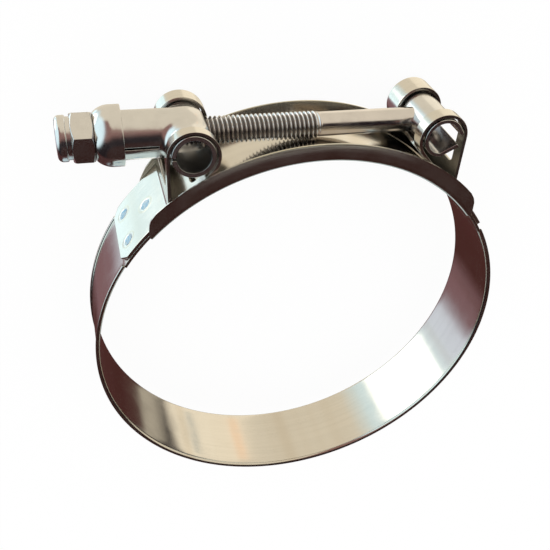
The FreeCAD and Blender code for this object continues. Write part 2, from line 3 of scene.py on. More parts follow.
import bmesh
import bpy
import numpy as np
from bpy.props import FloatProperty, FloatVectorProperty, PointerProperty
from mathutils import Matrix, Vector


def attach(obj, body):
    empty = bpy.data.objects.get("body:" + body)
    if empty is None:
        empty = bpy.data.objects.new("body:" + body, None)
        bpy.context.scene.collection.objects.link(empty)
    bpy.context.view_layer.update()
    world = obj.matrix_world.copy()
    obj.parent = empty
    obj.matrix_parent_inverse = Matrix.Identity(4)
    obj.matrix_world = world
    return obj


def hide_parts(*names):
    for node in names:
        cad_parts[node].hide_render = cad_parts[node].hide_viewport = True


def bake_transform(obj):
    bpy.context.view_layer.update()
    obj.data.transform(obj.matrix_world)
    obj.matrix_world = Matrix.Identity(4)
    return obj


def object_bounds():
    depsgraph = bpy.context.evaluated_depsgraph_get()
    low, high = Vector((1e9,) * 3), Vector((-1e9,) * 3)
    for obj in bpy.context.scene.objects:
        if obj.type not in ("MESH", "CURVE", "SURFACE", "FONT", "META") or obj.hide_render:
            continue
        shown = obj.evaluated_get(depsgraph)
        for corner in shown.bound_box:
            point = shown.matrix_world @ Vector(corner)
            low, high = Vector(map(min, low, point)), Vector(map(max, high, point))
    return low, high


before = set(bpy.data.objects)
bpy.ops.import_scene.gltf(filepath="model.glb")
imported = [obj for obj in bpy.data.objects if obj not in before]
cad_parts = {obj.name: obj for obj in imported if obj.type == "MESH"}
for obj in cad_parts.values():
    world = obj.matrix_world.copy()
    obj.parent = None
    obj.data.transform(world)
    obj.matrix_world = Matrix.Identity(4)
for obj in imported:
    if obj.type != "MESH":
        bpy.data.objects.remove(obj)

bl_info = {
    "name": "T-bolt clamp",
    "version": (1, 0, 0),
    "blender": (4, 5, 0),
    "location": "View3D > Sidebar > T-bolt clamp",
    "description": "Builds a T-bolt clamp: band, bridge, tee, cap, nut, bolt and their stage",
    "category": "Add Mesh",
}

CAD_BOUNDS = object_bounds()
MM = 0.001


def length(name, millimetres, description):
    """A size property, given in millimetres and kept in metres."""
    return FloatProperty(name=name, description=description, default=millimetres * MM,
                         unit="LENGTH", subtype="DISTANCE", precision=5)


def angle(name, degrees, description):
    """An angle property, given in degrees and kept in radians."""
    return FloatProperty(name=name, description=description, default=math.radians(degrees),
                         subtype="ANGLE")


def colour(name, value, description):
    """A linear colour property."""
    return FloatVectorProperty(name=name, description=description, default=value, size=3,
                               min=0.0, max=2.0, subtype="COLOR")


def amount(name, value, description):
    """A plain number property."""
    return FloatProperty(name=name, description=description, default=value, precision=3)


class BandSizes(bpy.types.PropertyGroup):
    """Sizes of the band, its folded ends and the bridge inside it."""
    bore_radius: length("Bore radius", 51.0, "Radius of the bridge's inner face")
    bridge_wall: length("Bridge sheet", 0.42, "Sheet of the bridge")
    seat_gap: length("Seat gap", 0.03, "Play between bridge and band")
    bridge_left: angle("Bridge left end", 47.0, "End of the bridge on the nut's side")
    bridge_right: angle("Bridge right end", 49.5, "End of the bridge on the T head's side")
    bridge_bend: length("Bridge bend", 0.35, "Inner radius of the bends between web and flanges")
    flange_height: length("Flange height", 4.2, "Top of the flanges above the bore")
    flange_gap: length("Flange gap", 0.3, "Play between the band's edge and a flange")
    flange_corner: length("Flange corner", 5.4, "Length of the flange's rounded end")
    flange_setback: length("Flange setback", 2.6, "Setback of the flange's end below its corner")
    flange_rise: length("Flange rise", 3.3, "Height where the flange's end turns into its corner")
    far_corner: length("Far flange corner", 11.0, "That length on the far flange, nut's side")
    strap: length("Strap sheet", 0.7, "Sheet of the band")
    width: length("Strap width", 20.6, "Width of the band and its loops")
    lip_radius: length("Lip radius", 0.95, "Radius of the curled edges")
    lip_end: angle("Lip end", 57.6, "Where the curled edges stop at the folded ends")
    tail_end: angle("Tail end", 57.1, "Where the folded ends stop")
    tail_corner: length("Tail corner", 2.2, "Chamfer on a folded end's corners")
    tail_gap: length("Tail gap", 0.06, "Gap between the two layers at the welds")
    leg_bend: length("Leg bend", 1.3, "Bend where the loop's outer leg meets the band")
    pivot_offset: length("Pivot offset", 28.0, "Either trunnion's distance from the middle plane")
    pivot_height: length("Pivot height", 54.48, "Trunnions' height above the bore's axis")
    loop_clearance: length("Loop clearance", 0.35, "Play of a trunnion in its loop")
    loop_drop: length("Loop drop", 0.2, "How far a loop's centre lies below its trunnion's")
    left_drop: length("Left drop", 0.6, "How far the cross tube and its loop hang below the bolt")
    left_slot: length("Left slot width", 13.9, "Cut-out between the ears on the nut's side")
    left_shift: length("Left slot shift", 0.7, "How far that cut-out lies towards the front")
    right_slot: length("Right slot width", 11.2, "Cut-out between the ears on the T head's side")
    right_shift: length("Right slot shift", 1.4, "How far that cut-out lies towards the front")
    slot_drop: length("Slot drop", 8.0, "Lower end of the cut-out below the loop's centre")
    slot_corner: length("Slot corner", 1.5, "Rounded corners at the lower end of the cut-out")
    weld_diameter: length("Weld diameter", 3.0, "Spot weld mark")
    weld_dent: length("Weld dent", 0.15, "Depth of a spot weld mark")
    weld_far: angle("Far welds", 53.2, "Pair of welds near the folded end")
    weld_near: angle("Near weld", 45.4, "Single weld near the loop")
    weld_spread: length("Weld spread", 5.3, "Distance of either weld of the pair from the middle")


class FittingSizes(bpy.types.PropertyGroup):
    """Sizes of the tee, its cap and the T head."""
    tube_diameter: length("Tube diameter", 9.4, "Outside of the tee's cross tube")
    tube_wall: length("Tube sheet", 1.1, "Sheet of the tee")
    tube_length: length("Tube length", 20.9, "Length of the cross tube and of the T head")
    tube_seam: length("Tube seam", 0.5, "Open seam of the cross tube")
    seam_start: length("Tube seam start", 6.25, "Where that seam begins, from the middle")
    neck_diameter: length("Neck diameter", 10.3, "Outside of the tee's neck")
    neck_length: length("Neck length", 18.1, "End of the neck from the tee's axis")
    neck_seam: length("Neck seam", 0.5, "Open seam along the neck")
    neck_seam_angle: angle("Neck seam angle", 82.0, "The seam, from straight down to the front")
    neck_blend: length("Neck blend", 1.8, "Reach of the blend between neck and cross tube")
    exit_hole: length("Exit hole", 7.6, "Hole where the bolt leaves the tee")
    cap_diameter: length("Cap diameter", 12.8, "Outside of the pressed cap")
    cap_length: length("Cap length", 5.7, "Length of the cap")
    cap_floor: length("Cap floor", 1.0, "Floor of the cap under the nut")
    cap_fit: length("Cap fit", 0.1, "Radial play of the cap on the neck")
    cap_face: length("Cap face radius", 4.9, "Flat face that the nut bears on")
    cap_dome: length("Cap dome", 3.5, "Rounded part of the cap")
    head_diameter: length("Head diameter", 9.0, "Outside of the rolled T head")
    head_wall: length("Head sheet", 0.9, "Sheet of the T head")
    head_upper_angle: angle("Upper lip", 34.0, "Where the roll's upper side runs straight")
    head_upper_lip: length("Upper lip length", 1.9, "Straight length of the upper side")
    head_lower_angle: angle("Lower bend", 98.0, "Where the roll's lower side bends")
    head_lower_bend: length("Lower bend radius", 1.5, "Radius of that bend")
    head_lower_turn: angle("Lower bend turn", 36.0, "Angle that the lower side turns there")
    head_lower_lip: length("Lower lip length", 4.1, "Straight length of the lower side")


class BoltSizes(bpy.types.PropertyGroup):
    """Sizes of the bolt and its nut."""
    diameter: length("Thread diameter", 6.0, "Major diameter of the bolt's thread")
    pitch: length("Thread pitch", 1.0, "Distance from one thread crest to the next")
    shank: length("Shank diameter", 5.4, "Plain part of the bolt")
    total: length("Bolt length", 83.85, "Bolt from its end in the T head to its tip")
    head_end: length("Head end", 2.0, "Bolt's end beyond the T head's axis")
    crown: length("Crown", 1.3, "Height of the bolt's domed end")
    thread: length("Thread length", 54.3, "Threaded part of the bolt")
    tip_chamfer: length("Tip chamfer", 0.7, "Chamfer at the bolt's tip")
    nut_flats: length("Nut flats", 10.0, "Width across the nut's flats")
    nut_hexagon: length("Nut hexagon", 4.6, "Length of the hexagon")
    nut_chamfer: length("Nut chamfer", 0.9, "Length of the chamfers on the hexagon")
    nut_corner: angle("Nut corner", 66.0, "Corner that shows, from up towards the front")
    nut_gap: length("Nut gap", 0.05, "Play between nut and cap")
    collar_diameter: length("Collar diameter", 9.5, "Collar that holds the locking ring")
    collar_length: length("Collar length", 3.0, "Length of the collar")
    collar_groove: length("Collar groove", 0.75, "Width of the groove between hexagon and collar")
    collar_depth: length("Collar groove depth", 0.35, "Depth of that groove")
    collar_round: length("Collar round", 1.1, "Rounded outer edge of the collar")
    collar_mouth: length("Collar mouth", 7.2, "Opening of the collar's crimped end")
    ring_diameter: length("Ring diameter", 8.0, "Outside of the locking ring")
    ring_length: length("Ring length", 1.6, "Length of the locking ring")
    ring_fit: length("Ring fit", 0.02, "Play of the locking ring in its collar")
    play: length("Play", 0.05, "Radial play of the nut on the bolt")


class Finishes(bpy.types.PropertyGroup):
    """Colours and gloss of the metals and the nylon."""
    band_colour: colour("Band steel", (0.70, 0.67, 0.62), "Polished stainless sheet")
    fitting_colour: colour("Fitting steel", (0.70, 0.69, 0.685), "Bright polished steel")
    streak_colour: colour("Streak", (0.60, 0.54, 0.46), "Duller steel in the band's streaks")
    bolt_colour: colour("Bolt steel", (0.70, 0.67, 0.665), "Bright rolled steel")
    nylon_colour: colour("Nylon", (0.78, 0.78, 0.72), "Off-white nylon")
    tan_heat: colour("Tan heat tint", (0.62, 0.50, 0.30), "Outermost tint round a weld")
    blue_heat: colour("Blue heat tint", (0.30, 0.46, 0.58), "Tint inside a weld mark")
    band_roughness: amount("Band roughness", 0.13, "Roughness of the sheet")
    fitting_roughness: amount("Fitting roughness", 0.16, "Roughness of the fittings")
    # painted sheen: a pale dull film on the flange tops that stands in for the light they catch
    painted_sheen_colour: colour("Film", (0.56, 0.53, 0.42), "Dull olive film on the flanges")
    painted_sheen_depth: amount("Film depth", 0.44, "How far the film hides the bare steel")
    # painted shade: darker steel inside tubes, loops, the T head's roll and the thread roots, where
    # shade falls
    painted_pocket_shade: amount("Pocket shade", 0.30, "Brightness of the steel inside tubes and loops")


class StageSettings(bpy.types.PropertyGroup):
    """Camera, floor and the surroundings that the metal shows."""
    distance: length("Camera distance", 200.8, "Camera's distance from the bore's centre")
    focal: amount("Focal length", 48.54, "Lens for a 36 mm wide frame")
    shift_x: amount("Shift across", -0.0331, "Sideways shift that frames the clamp")
    shift_y: amount("Shift up", 0.0646, "Upward shift that frames the clamp")
    floor_size: length("Floor size", 3000.0, "Side of the square floor")
    floor_glow: amount("Floor whiteness", 0.94, "Share of plain white in the floor")
    wood: colour("Wood", (0.082, 0.029, 0.026), "Dark red-brown table top")
    paper: colour("Paper", (0.90, 0.81, 0.64), "Cream card under the clamp")
    window: colour("Window", (1.06, 1.33, 1.40), "Cool light from the left")
    shade: colour("Shade", (0.055, 0.045, 0.045), "Dark side on the right")
    wall: colour("Wall", (0.036, 0.0125, 0.0095), "Brown wall in front of the clamp")
    backdrop: colour("Backdrop", (0.31, 0.165, 0.14), "Pinkish brown wall behind the paper")
    edge: colour("Table edge", (0.27, 0.15, 0.165), "Purplish table edge below the window")
    sky: colour("Sky", (1.60, 1.66, 1.64), "Brightest part of the window")
    haze: colour("Haze", (0.84, 0.91, 1.04), "Dimmer part of the window")
    peach: colour("Peach", (1.32, 0.94, 0.64), "Narrow peach streak on the paper")
    room: colour("Room", (0.012, 0.006, 0.008), "Dark room above and behind the camera")


def band_sizes():
    """Sizes of the band and the bridge, as the panel holds them."""
    return bpy.context.scene.clamp_band


def fitting_sizes():
    """Sizes of the tee, its cap and the T head."""
    return bpy.context.scene.clamp_fittings


def bolt_sizes():
    """Sizes of the bolt and its nut."""
    return bpy.context.scene.clamp_bolt


def finishes():
    """Colours and gloss of the metals and the nylon."""
    return bpy.context.scene.clamp_finishes


def stage_settings():
    """Camera, floor and surroundings."""
    return bpy.context.scene.clamp_stage


# Meshes

SKIN_SHARE = 0.3  # part of a sheet's thickness in which the painted pocket shade, darker and duller steel, fades out


def grid_quads(rows, columns, close_rows=False, close_columns=False, keep=None):
    """Quads of a grid: point numbers, and the row and column of each corner.

    Quad (i, j) joins points (i, j), (i + 1, j), (i + 1, j + 1) and (i, j + 1), counted round
    where the grid is closed. Only those marked in keep are made.
    """
    i, j = np.meshgrid(np.arange(rows if close_rows else rows - 1),
                       np.arange(columns if close_columns else columns - 1), indexing="ij")
    i, j = i.ravel(), j.ravel()
    if keep is not None:
        chosen = keep[i, j]
        i, j = i[chosen], j[chosen]
    corner_i = np.stack([i, i + 1, i + 1, i], axis=1)
    corner_j = np.stack([j, j, j + 1, j + 1], axis=1)
    return (corner_i % rows) * columns + corner_j % columns, corner_i, corner_j


def set_values(mesh, name, values):
    """Keep one number for each point as a named attribute."""
    mesh.attributes.new(name, "FLOAT", "POINT").data.foreach_set(
        "value", np.asarray(values, np.float32).ravel())


def points_of(mesh):
    """Places of a mesh's points, one row each."""
    flat = np.empty(len(mesh.vertices) * 3)
    mesh.vertices.foreach_get("co", flat)
    return flat.reshape(-1, 3)


def new_mesh(name, points, faces, corner_uv=None, values=None):
    """Object from points, faces, one UV pair for each face corner and named values per point."""
    mesh = bpy.data.meshes.new(name)
    mesh.from_pydata(np.asarray(points, float).reshape(-1, 3).tolist(), [], faces)
    if corner_uv is not None:
        layer = mesh.uv_layers.new(name="run")
        full = np.zeros((len(mesh.loops), 2), np.float32)
        full[:len(corner_uv)] = corner_uv
        layer.data.foreach_set("uv", full.ravel())
    for key, array in (values or {}).items():
        set_values(mesh, key, array)
    piece = bpy.data.objects.new(name, mesh)
    bpy.context.scene.collection.objects.link(piece)
    return piece


def grid_piece(name, points, u, v, close_rows=False, close_columns=False, caps=False,
               keep=None, values=None):
    """Object from a grid of points, with UVs in metres: u down the rows, v along the columns."""
    rows, columns = points.shape[:2]
    quads, corner_i, corner_j = grid_quads(rows, columns, close_rows, close_columns, keep)
    corner_uv = np.stack([u[corner_i], v[corner_j]], axis=-1).reshape(-1, 2)
    faces = quads.tolist()
    if caps:
        faces.append(list(range(columns)))
        faces.append([(rows - 1) * columns + j for j in range(columns)][::-1])
    return new_mesh(name, points, faces, corner_uv, values)


def mesh_work(piece, merge=None):
    """Merge doubles, drop loose points and turn the faces of a closed mesh outwards."""
    work = bmesh.new()
    work.from_mesh(piece.data)
    if merge:
        bmesh.ops.remove_doubles(work, verts=work.verts, dist=merge)
    loose = [v for v in work.verts if not v.link_faces]
    bmesh.ops.delete(work, geom=loose, context="VERTS")
    bmesh.ops.recalc_face_normals(work, faces=work.faces)
    work.to_mesh(piece.data)
    work.free()


def smooth(piece, sharp_degrees):
    """Shade smooth, with edges sharper than an angle kept sharp."""
    mesh = piece.data
    mesh.polygons.foreach_set("use_smooth", np.ones(len(mesh.polygons), bool))
    mesh.set_sharp_from_angle(angle=math.radians(sharp_degrees))
    mesh.update()


def apply_modifiers(piece):
    """Put the result of a piece's modifiers into its mesh."""
    graph = bpy.context.evaluated_depsgraph_get()
    mesh = bpy.data.meshes.new_from_object(piece.evaluated_get(graph), depsgraph=graph)
    piece.modifiers.clear()
    piece.data = mesh


def thicken(piece, wall, rounding):
    """Give a middle surface its wall, half to either side, and round the wall's edges."""
    solid = piece.modifiers.new("wall", "SOLIDIFY")
    solid.thickness = wall
    solid.offset = 0.0
    solid.use_even_offset = True
    bevel = piece.modifiers.new("rounding", "BEVEL")
    bevel.width = rounding
    bevel.segments = 3
    bevel.limit_method = "ANGLE"
    bevel.angle_limit = math.radians(50)
    bevel.use_clamp_overlap = True
    apply_modifiers(piece)


def mark_painted_pocket_shade(piece, depth_of):
    """Keep how far inside a pocket each point lies, 0 to 1: it dulls the steel there."""
    mesh = piece.data
    set_values(mesh, "inside", np.clip(depth_of(points_of(mesh)), 0.0, 1.0))


def finish_piece(piece, material, nodes):
    """Give a piece its material and slot, and name the solids that it stands for."""
    piece.data.materials.clear()
    piece.data.materials.append(material)
    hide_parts(*nodes)


def join_pieces(name, parts):
    """One object from several, with the first one's place in the file."""
    bpy.ops.object.select_all(action="DESELECT")
    for part in parts:
        part.select_set(True)
    bpy.context.view_layer.objects.active = parts[0]
    bpy.ops.object.join()
    parts[0].name = name
    parts[0].data.name = name
    return parts[0]


# Curves

def polar(radius, turn):
    """Point at a radius and an angle from the Y axis, positive towards +X."""
    return np.stack([radius * np.sin(turn), radius * np.cos(turn)], axis=-1)


def arc_points(centre, radius, first, last, count):
    """Points at even angles on an arc, measured anticlockwise from +X."""
    turn = np.linspace(first, last, count)
    return np.asarray(centre) + radius * np.stack([np.cos(turn), np.sin(turn)], axis=-1)


def line_points(start, end, count):
    """Points at even steps from start to end."""
    share = np.linspace(0.0, 1.0, count)[:, None]
    return (1 - share) * np.asarray(start) + share * np.asarray(end)


def chain(runs):
    """One list of points from several, each run's first point dropped where it repeats the last."""
    kept = [runs[0]] + [run[1:] for run in runs[1:]]
    return np.concatenate(kept)


def travelled(points):
    """Distance along a line of points."""
    steps = np.linalg.norm(np.diff(points, axis=0), axis=1)
    return np.concatenate([[0.0], np.cumsum(steps)])


def side_of(points):
    """Unit normals to the left of a flat line of points, from the mean of the two steps there."""
    steps = np.diff(points, axis=0)
    steps /= np.linalg.norm(steps, axis=1)[:, None]
    mean = np.concatenate([steps[:1], steps[:-1] + steps[1:], steps[-1:]])
    mean /= np.linalg.norm(mean, axis=1)[:, None]
    return np.stack([-mean[:, 1], mean[:, 0]], axis=-1)


def rounded_corner(start, corner, end, count=5):
    """Curve from start A to end B that a corner C pulls outwards.

    It is (1 - t)^2 A + 2 t (1 - t) C + t^2 B, with t at even steps from 0 to 1.
    """
    t = np.linspace(0.0, 1.0, count)[:, None]
    return ((1 - t) ** 2 * np.asarray(start, float) + 2 * t * (1 - t) * np.asarray(corner, float)
            + t ** 2 * np.asarray(end, float))


def rounded_end(first, last, nose):
    """Cut edge of a sheet from one face to the other, its corners eased by two short curves."""
    first, last = np.asarray(first, float), np.asarray(last, float)
    along = (last - first) / np.linalg.norm(last - first)
    out = np.array([-along[1], along[0]])
    bulge = 0.9 * nose * (out if out[0] > 0 else -out)
    upper, lower = first + bulge, last + bulge
    return np.concatenate([rounded_corner(first, upper, upper + along * nose, 4),
                           rounded_corner(lower - along * nose, lower, last, 4)])


def round_z(radius, turn, z):
    """Grid round the Z axis: P(turn, k) = (r sin turn, r cos turn, z_k)."""
    flat = polar(radius, turn[:, None])
    across = np.broadcast_to(z[None, :, None], flat.shape[:2] + (1,))
    return np.concatenate([flat, across], axis=2)


def round_x(x, radius, turn, place):
    """Grid round the X axis: P(k, turn) = place + (x_k, r cos turn, r sin turn)."""
    along = np.broadcast_to(x[:, None], radius.shape)
    return np.stack([along, radius * np.cos(turn), radius * np.sin(turn)], axis=2) + place


def smooth_step(low, high, value):
    """0 below low and 1 above high, with t * t * (3 - 2 t) between."""
    t = np.clip((value - low) / (high - low), 0.0, 1.0)
    return t * t * (3 - 2 * t)


# Band

NO_WELD = 1.0  # weld distance, in metres, of a point that is near no weld


def pivot_of(side):
    """Place of the T head's axis (side 1) or the tee's (side -1) in the middle plane."""
    b = band_sizes()
    return np.array([side * b.pivot_offset, b.pivot_height, 0.0])


def band_inner():
    """Radius of the band's inner face: bore, bridge sheet and play."""
    b = band_sizes()
    return b.bore_radius + b.bridge_wall + b.seat_gap


def ring_section():
    """Outline of the lipped ring as (radius, z).

    The web is a straight strip. At either edge it turns outwards through a quarter circle of the
    lip's radius, and the sheet's cut edge faces away from the axis.
    """
    b = band_sizes()
    inner, curl, sheet, edge = band_inner(), b.lip_radius, b.strap, b.width / 2
    high, tip, nose = edge - curl, inner + curl, 0.16 * MM
    quarter = np.pi / 2
    upper = chain([
        line_points((inner, 0), (inner, high), 7),
        arc_points((tip, high), curl, np.pi, quarter, 12),
        rounded_end((tip, edge), (tip, edge - sheet), nose),
        arc_points((tip, high), curl - sheet, quarter, np.pi, 8),
        line_points((inner + sheet, high), (inner + sheet, 0), 7),
    ])
    lower = upper[::-1][1:-1] * np.array([1.0, -1.0])
    return np.concatenate([upper, lower])


def ring_piece():
    """Ring: the section carried round the bore's axis between the ends of its lips."""
    b = band_sizes()
    section = ring_section()
    first, last = math.degrees(b.lip_end), 360 - math.degrees(b.lip_end)
    turn = np.radians(np.linspace(first, last, 281))
    points = round_z(section[None, :, 0], turn, section[:, 1])
    around = travelled(np.concatenate([section, section[:1]]))
    piece = grid_piece("ring", points, turn * band_inner(), around, close_columns=True, caps=True,
                       values={"weld_distance": np.full(points.shape[:2], NO_WELD)})
    mesh_work(piece)
    smooth(piece, 35)
    return piece


def loop_middle():
    """Radius of a loop's middle line: trunnion, play and half the sheet."""
    b, f = band_sizes(), fitting_sizes()
    return f.tube_diameter / 2 + b.loop_clearance + b.strap / 2


def loop_centre(side):
    """Centre of a loop on the right (side 1), as if mirrored there for the left (side -1)."""
    b = band_sizes()
    drop = b.loop_drop + (b.left_drop if side < 0 else 0.0)
    return np.array([b.pivot_offset, b.pivot_height - drop])


def folded_end_line(side):
    """Middle line of a folded end, and the places where its slot begins and ends.

    The line leaves the ring's circle along the tangent that it shares with the loop, goes round
    the trunnion, comes down the outer leg, bends and lies on the ring as the tail.
    """
    b = band_sizes()
    quarter = math.pi / 2
    pivot, loop = loop_centre(side), loop_middle()
    strap_middle = band_inner() + b.strap / 2
    tail_middle = strap_middle + b.strap + b.tail_gap

    # tangent from the ring to the loop
    reach = np.linalg.norm(pivot)
    leave = math.atan2(pivot[0], pivot[1]) + math.acos((strap_middle + loop) / reach)
    outward = polar(1.0, leave)
    strap_from, strap_to = polar(strap_middle, leave), pivot - outward * loop
    unit = (strap_to - strap_from) / np.linalg.norm(strap_to - strap_from)

    # outer leg, its bend and the tail
    back = np.array([outward[1], -outward[0]])
    tail_start = polar(tail_middle, leave)
    leg_x = pivot[0] + loop
    corner = tail_start - back * ((tail_start[0] - leg_x) / back[0])
    turn = quarter - leave
    trim = b.leg_bend * math.tan(turn / 2)
    bend_start = corner + np.array([0.0, trim])
    bend_centre = bend_start + np.array([b.leg_bend, 0.0])
    tail_bend = polar(tail_middle, b.weld_far)
    along = np.array([tail_bend[1], -tail_bend[0]]) / tail_middle
    tail_run = tail_middle * math.tan(b.tail_end - b.weld_far)

    # lower ends of the slot, on the inner strap and on the leg
    slot_y = pivot[1] - b.slot_drop
    share = (slot_y - strap_from[1]) / (strap_to[1] - strap_from[1])
    slot_in = strap_from + share * (strap_to - strap_from)
    leg_slot = np.array([leg_x, slot_y])
    up = np.array([0.0, b.slot_corner])
    runs = [
        arc_points((0, 0), strap_middle, quarter - b.lip_end, quarter - leave, 12),
        line_points(strap_from, slot_in, 14),
        line_points(slot_in, slot_in + unit * b.slot_corner, 7),
        line_points(slot_in + unit * b.slot_corner, strap_to, 4),
        arc_points(pivot, loop, 3 * quarter - leave, 0.0, 56),
        line_points((leg_x, pivot[1]), leg_slot + up, 8),
        line_points(leg_slot + up, leg_slot, 7),
        line_points(leg_slot, bend_start, 6),
        arc_points(bend_centre, b.leg_bend, np.pi, np.pi + turn, 8),
        line_points(corner + back * trim, tail_start, 14),
        arc_points((0, 0), tail_middle, quarter - leave, quarter - b.weld_far, 20),
        line_points(tail_bend, tail_bend + along * tail_run, 20),
    ]
    return chain(runs), slot_in, leg_slot


def folded_end_piece(side):
    """Folded end: the middle line P(s) carried across the band, z from edge to edge.

    The slot takes out the middle columns between its two ends, whose corners are rounded by
    half width = w - r + sqrt(r^2 - (r - d)^2) at a distance d inside the slot.
    """
    b = band_sizes()
    line, slot_in, leg_slot = folded_end_line(side)
    s = travelled(line)
    s_in, s_out = (s[np.argmin(np.linalg.norm(line - place, axis=1))]
                   for place in (slot_in, leg_slot))
    half, r = b.width / 2, b.slot_corner
    ear = (b.right_slot if side > 0 else b.left_slot) / 2
    shift = b.right_shift if side > 0 else b.left_shift

    # places across the band: the slot's edges and the tail's chamfered corners
    inside = np.minimum(s - s_in, s_out - s)
    d = np.clip(inside, 0.0, r)
    z_in = np.where(inside >= 0, ear - r + np.sqrt(np.maximum(r ** 2 - (r - d) ** 2, 0)), ear - r)
    z_out = half - np.clip(b.tail_corner - (s[-1] - s), 0.0, b.tail_corner)
    ear_columns, slot_columns = 18, 30
    ear_share = np.linspace(0, 1, ear_columns)
    slot_share = np.linspace(-1, 1, slot_columns)
    high, low = shift + z_in, shift - z_in
    upper = high[:, None] + (z_out - high)[:, None] * ear_share[None, :]
    lower = low[:, None] - (z_out + low)[:, None] * ear_share[None, :]
    middle = shift + z_in[:, None] * slot_share[None, :]
    z = np.concatenate([lower[:, ::-1], middle[:, 1:-1], upper], axis=1)

    dent, near = weld_dents(line, z)
    flat = line[:, None, :] + side_of(line)[:, None, :] * dent[:, :, None]
    points = np.concatenate([flat, z[:, :, None]], axis=2)
    points[..., 0] *= side
    columns = z.shape[1]
    row_middle = (s[:-1] + s[1:]) / 2
    in_slot = (row_middle > s_in) & (row_middle < s_out)
    keep = np.ones((len(s) - 1, columns - 1), bool)
    keep[np.ix_(in_slot, np.arange(ear_columns - 1, ear_columns + slot_columns - 2))] = False
    piece = grid_piece("folded_end", points, s, np.linspace(-half, half, columns), keep=keep,
                       values={"weld_distance": near})
    mesh_work(piece)
    thicken(piece, b.strap, 0.14 * MM)
    smooth(piece, 40)
    centre, loop, skin = loop_centre(side), loop_middle(), b.strap * SKIN_SHARE
    leg = centre[0] + loop

    def inner_skin(p):
        """Inner face of the loop above its centre, and of its outer leg below."""
        x, y = np.abs(p[:, 0]), p[:, 1]
        above = (loop - np.hypot(x - centre[0], y - centre[1])) / skin
        below = np.where(x > leg - b.strap, (leg - x) / skin, 0.0)
        return np.where(y > centre[1], above, below) * (x > centre[0] - loop - b.strap)

    # Painted shade: the loop's inner face and the outer leg's inner face get darker, duller steel.
    mark_painted_pocket_shade(piece, inner_skin)
    return piece


def weld_dents(line, z):
    """Height of the sheet at the welds, and distance to the nearest one.

    Inside a mark the sheet is pressed down by the dent's depth, smoothly from the mark's edge to
    its flat middle, and a raised rim follows exp(-((d - rim's radius) / rim's width)^2).
    """
    b = band_sizes()
    out = np.linalg.norm(line, axis=1)
    turn = np.arctan2(line[:, 0], line[:, 1])
    layer_line, loop_share = 1.35 * b.strap, 0.6
    outer_layer = out > band_inner() + layer_line
    past_loop = np.arange(len(line)) > len(line) * loop_share
    on_tail = (outer_layer & past_loop)[:, None]
    nearest = np.full(z.shape, NO_WELD)
    welds = ((b.weld_near, 0.0), (b.weld_far, b.weld_spread), (b.weld_far, -b.weld_spread))
    for where, across in welds:
        along = (turn - where) * out
        gap = np.where(on_tail, np.hypot(along[:, None], z - across), NO_WELD)
        nearest = np.minimum(nearest, gap)
    mark = b.weld_diameter / 2
    flat_middle, rim, rim_width, rim_height = 0.72 * mark, 1.15 * mark, 0.25 * MM, 0.04 * MM
    press = -b.weld_dent * (1 - smooth_step(flat_middle, mark, nearest))
    return press + rim_height * np.exp(-((nearest - rim) / rim_width) ** 2), nearest


class ClampBand(bpy.types.Operator):
    """Build the band: the lipped ring and its two folded ends"""
    bl_idname = "clamp.band"
    bl_label = "Band"

    def execute(self, context):
        ring = ring_piece()
        parts = [ring, folded_end_piece(1), folded_end_piece(-1)]
        band = join_pieces("spring_band", parts)
        finish_piece(band, sheet_material("band_steel", finishes().band_colour),
                     ["band"])
        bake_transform(band)
        return {"FINISHED"}


# Bridge

def flange_top(turn, left_corner):
    """Height of a flange above the bore, with the length of its corner on the nut's side.

    Full height between the ends. Towards an end it falls along straight steps through points
    (way from the end, height). The left end's way is scaled to its corner's length.
    """
    b = band_sizes()
    radius = b.bore_radius + b.flange_height
    foot = b.bridge_wall + b.bridge_bend + 0.1 * MM
    left = (turn + b.bridge_left) * radius * b.flange_corner / left_corner
    right = (b.bridge_right - turn) * radius
    way, height = np.array([
        (0.0, foot),
        (b.flange_setback * 0.35, foot + 1.1 * MM),
        (b.flange_setback, b.flange_rise),
        (b.flange_setback + 1.1 * MM, b.flange_rise + 0.52 * MM),
        (b.flange_corner, b.flange_height - 0.04 * MM),
        (b.flange_corner + 2.0 * MM, b.flange_height)]).T
    return np.interp(np.minimum(left, right), way, height)


def bridge_piece():
    """Bridge: a channel carried round the axis, its flanges' tops following their height."""
    b = band_sizes()
    end_zone = math.radians(7)
    left, right = -b.bridge_left, b.bridge_right
    turn = np.concatenate([np.linspace(left, left + end_zone, 40)[:-1],
                           np.linspace(left + end_zone, right - end_zone, 130),
                           np.linspace(right - end_zone, right, 40)[1:]])
    web = b.bore_radius + b.bridge_wall / 2
    flange = b.width / 2 + b.flange_gap + b.bridge_wall / 2
    bend = b.bridge_bend + b.bridge_wall / 2
    base = chain([line_points((web, 0), (web, flange - bend), 10),
                  arc_points((web + bend, flange - bend), bend, np.pi, np.pi / 2, 8)])
    share = np.linspace(0, 1, 9)[1:]
    sides = []
    for corner_length in (b.far_corner, b.flange_corner):
        top = b.bore_radius + flange_top(turn, corner_length)
        rise = base[-1, 0] + (top[:, None] - base[-1, 0]) * share[None, :]
        foot = np.broadcast_to(base[:, 0], (len(turn), len(base)))
        sides.append(np.concatenate([foot, rise], axis=1))
    half = np.concatenate([base[:, 1], np.full(len(share), flange)])
    radius = np.concatenate([sides[0][:, ::-1], sides[1][:, 1:]], axis=1)
    z = np.concatenate([-half[::-1], half[1:]])
    column_step = 0.7 * MM
    # The flanges carry a painted sheen: a pale film where their tops catch the light.
    piece = grid_piece("bridge_channel", round_z(radius, turn, z), turn * web,
                       np.arange(len(z)) * column_step,
                       values={"weld_distance": np.full(radius.shape, NO_WELD),
                               "painted_sheen": painted_flange_sheen(radius, turn[:, None], z)})
    mesh_work(piece)
    thicken(piece, b.bridge_wall, 0.12 * MM)
    smooth(piece, 40)
    return piece


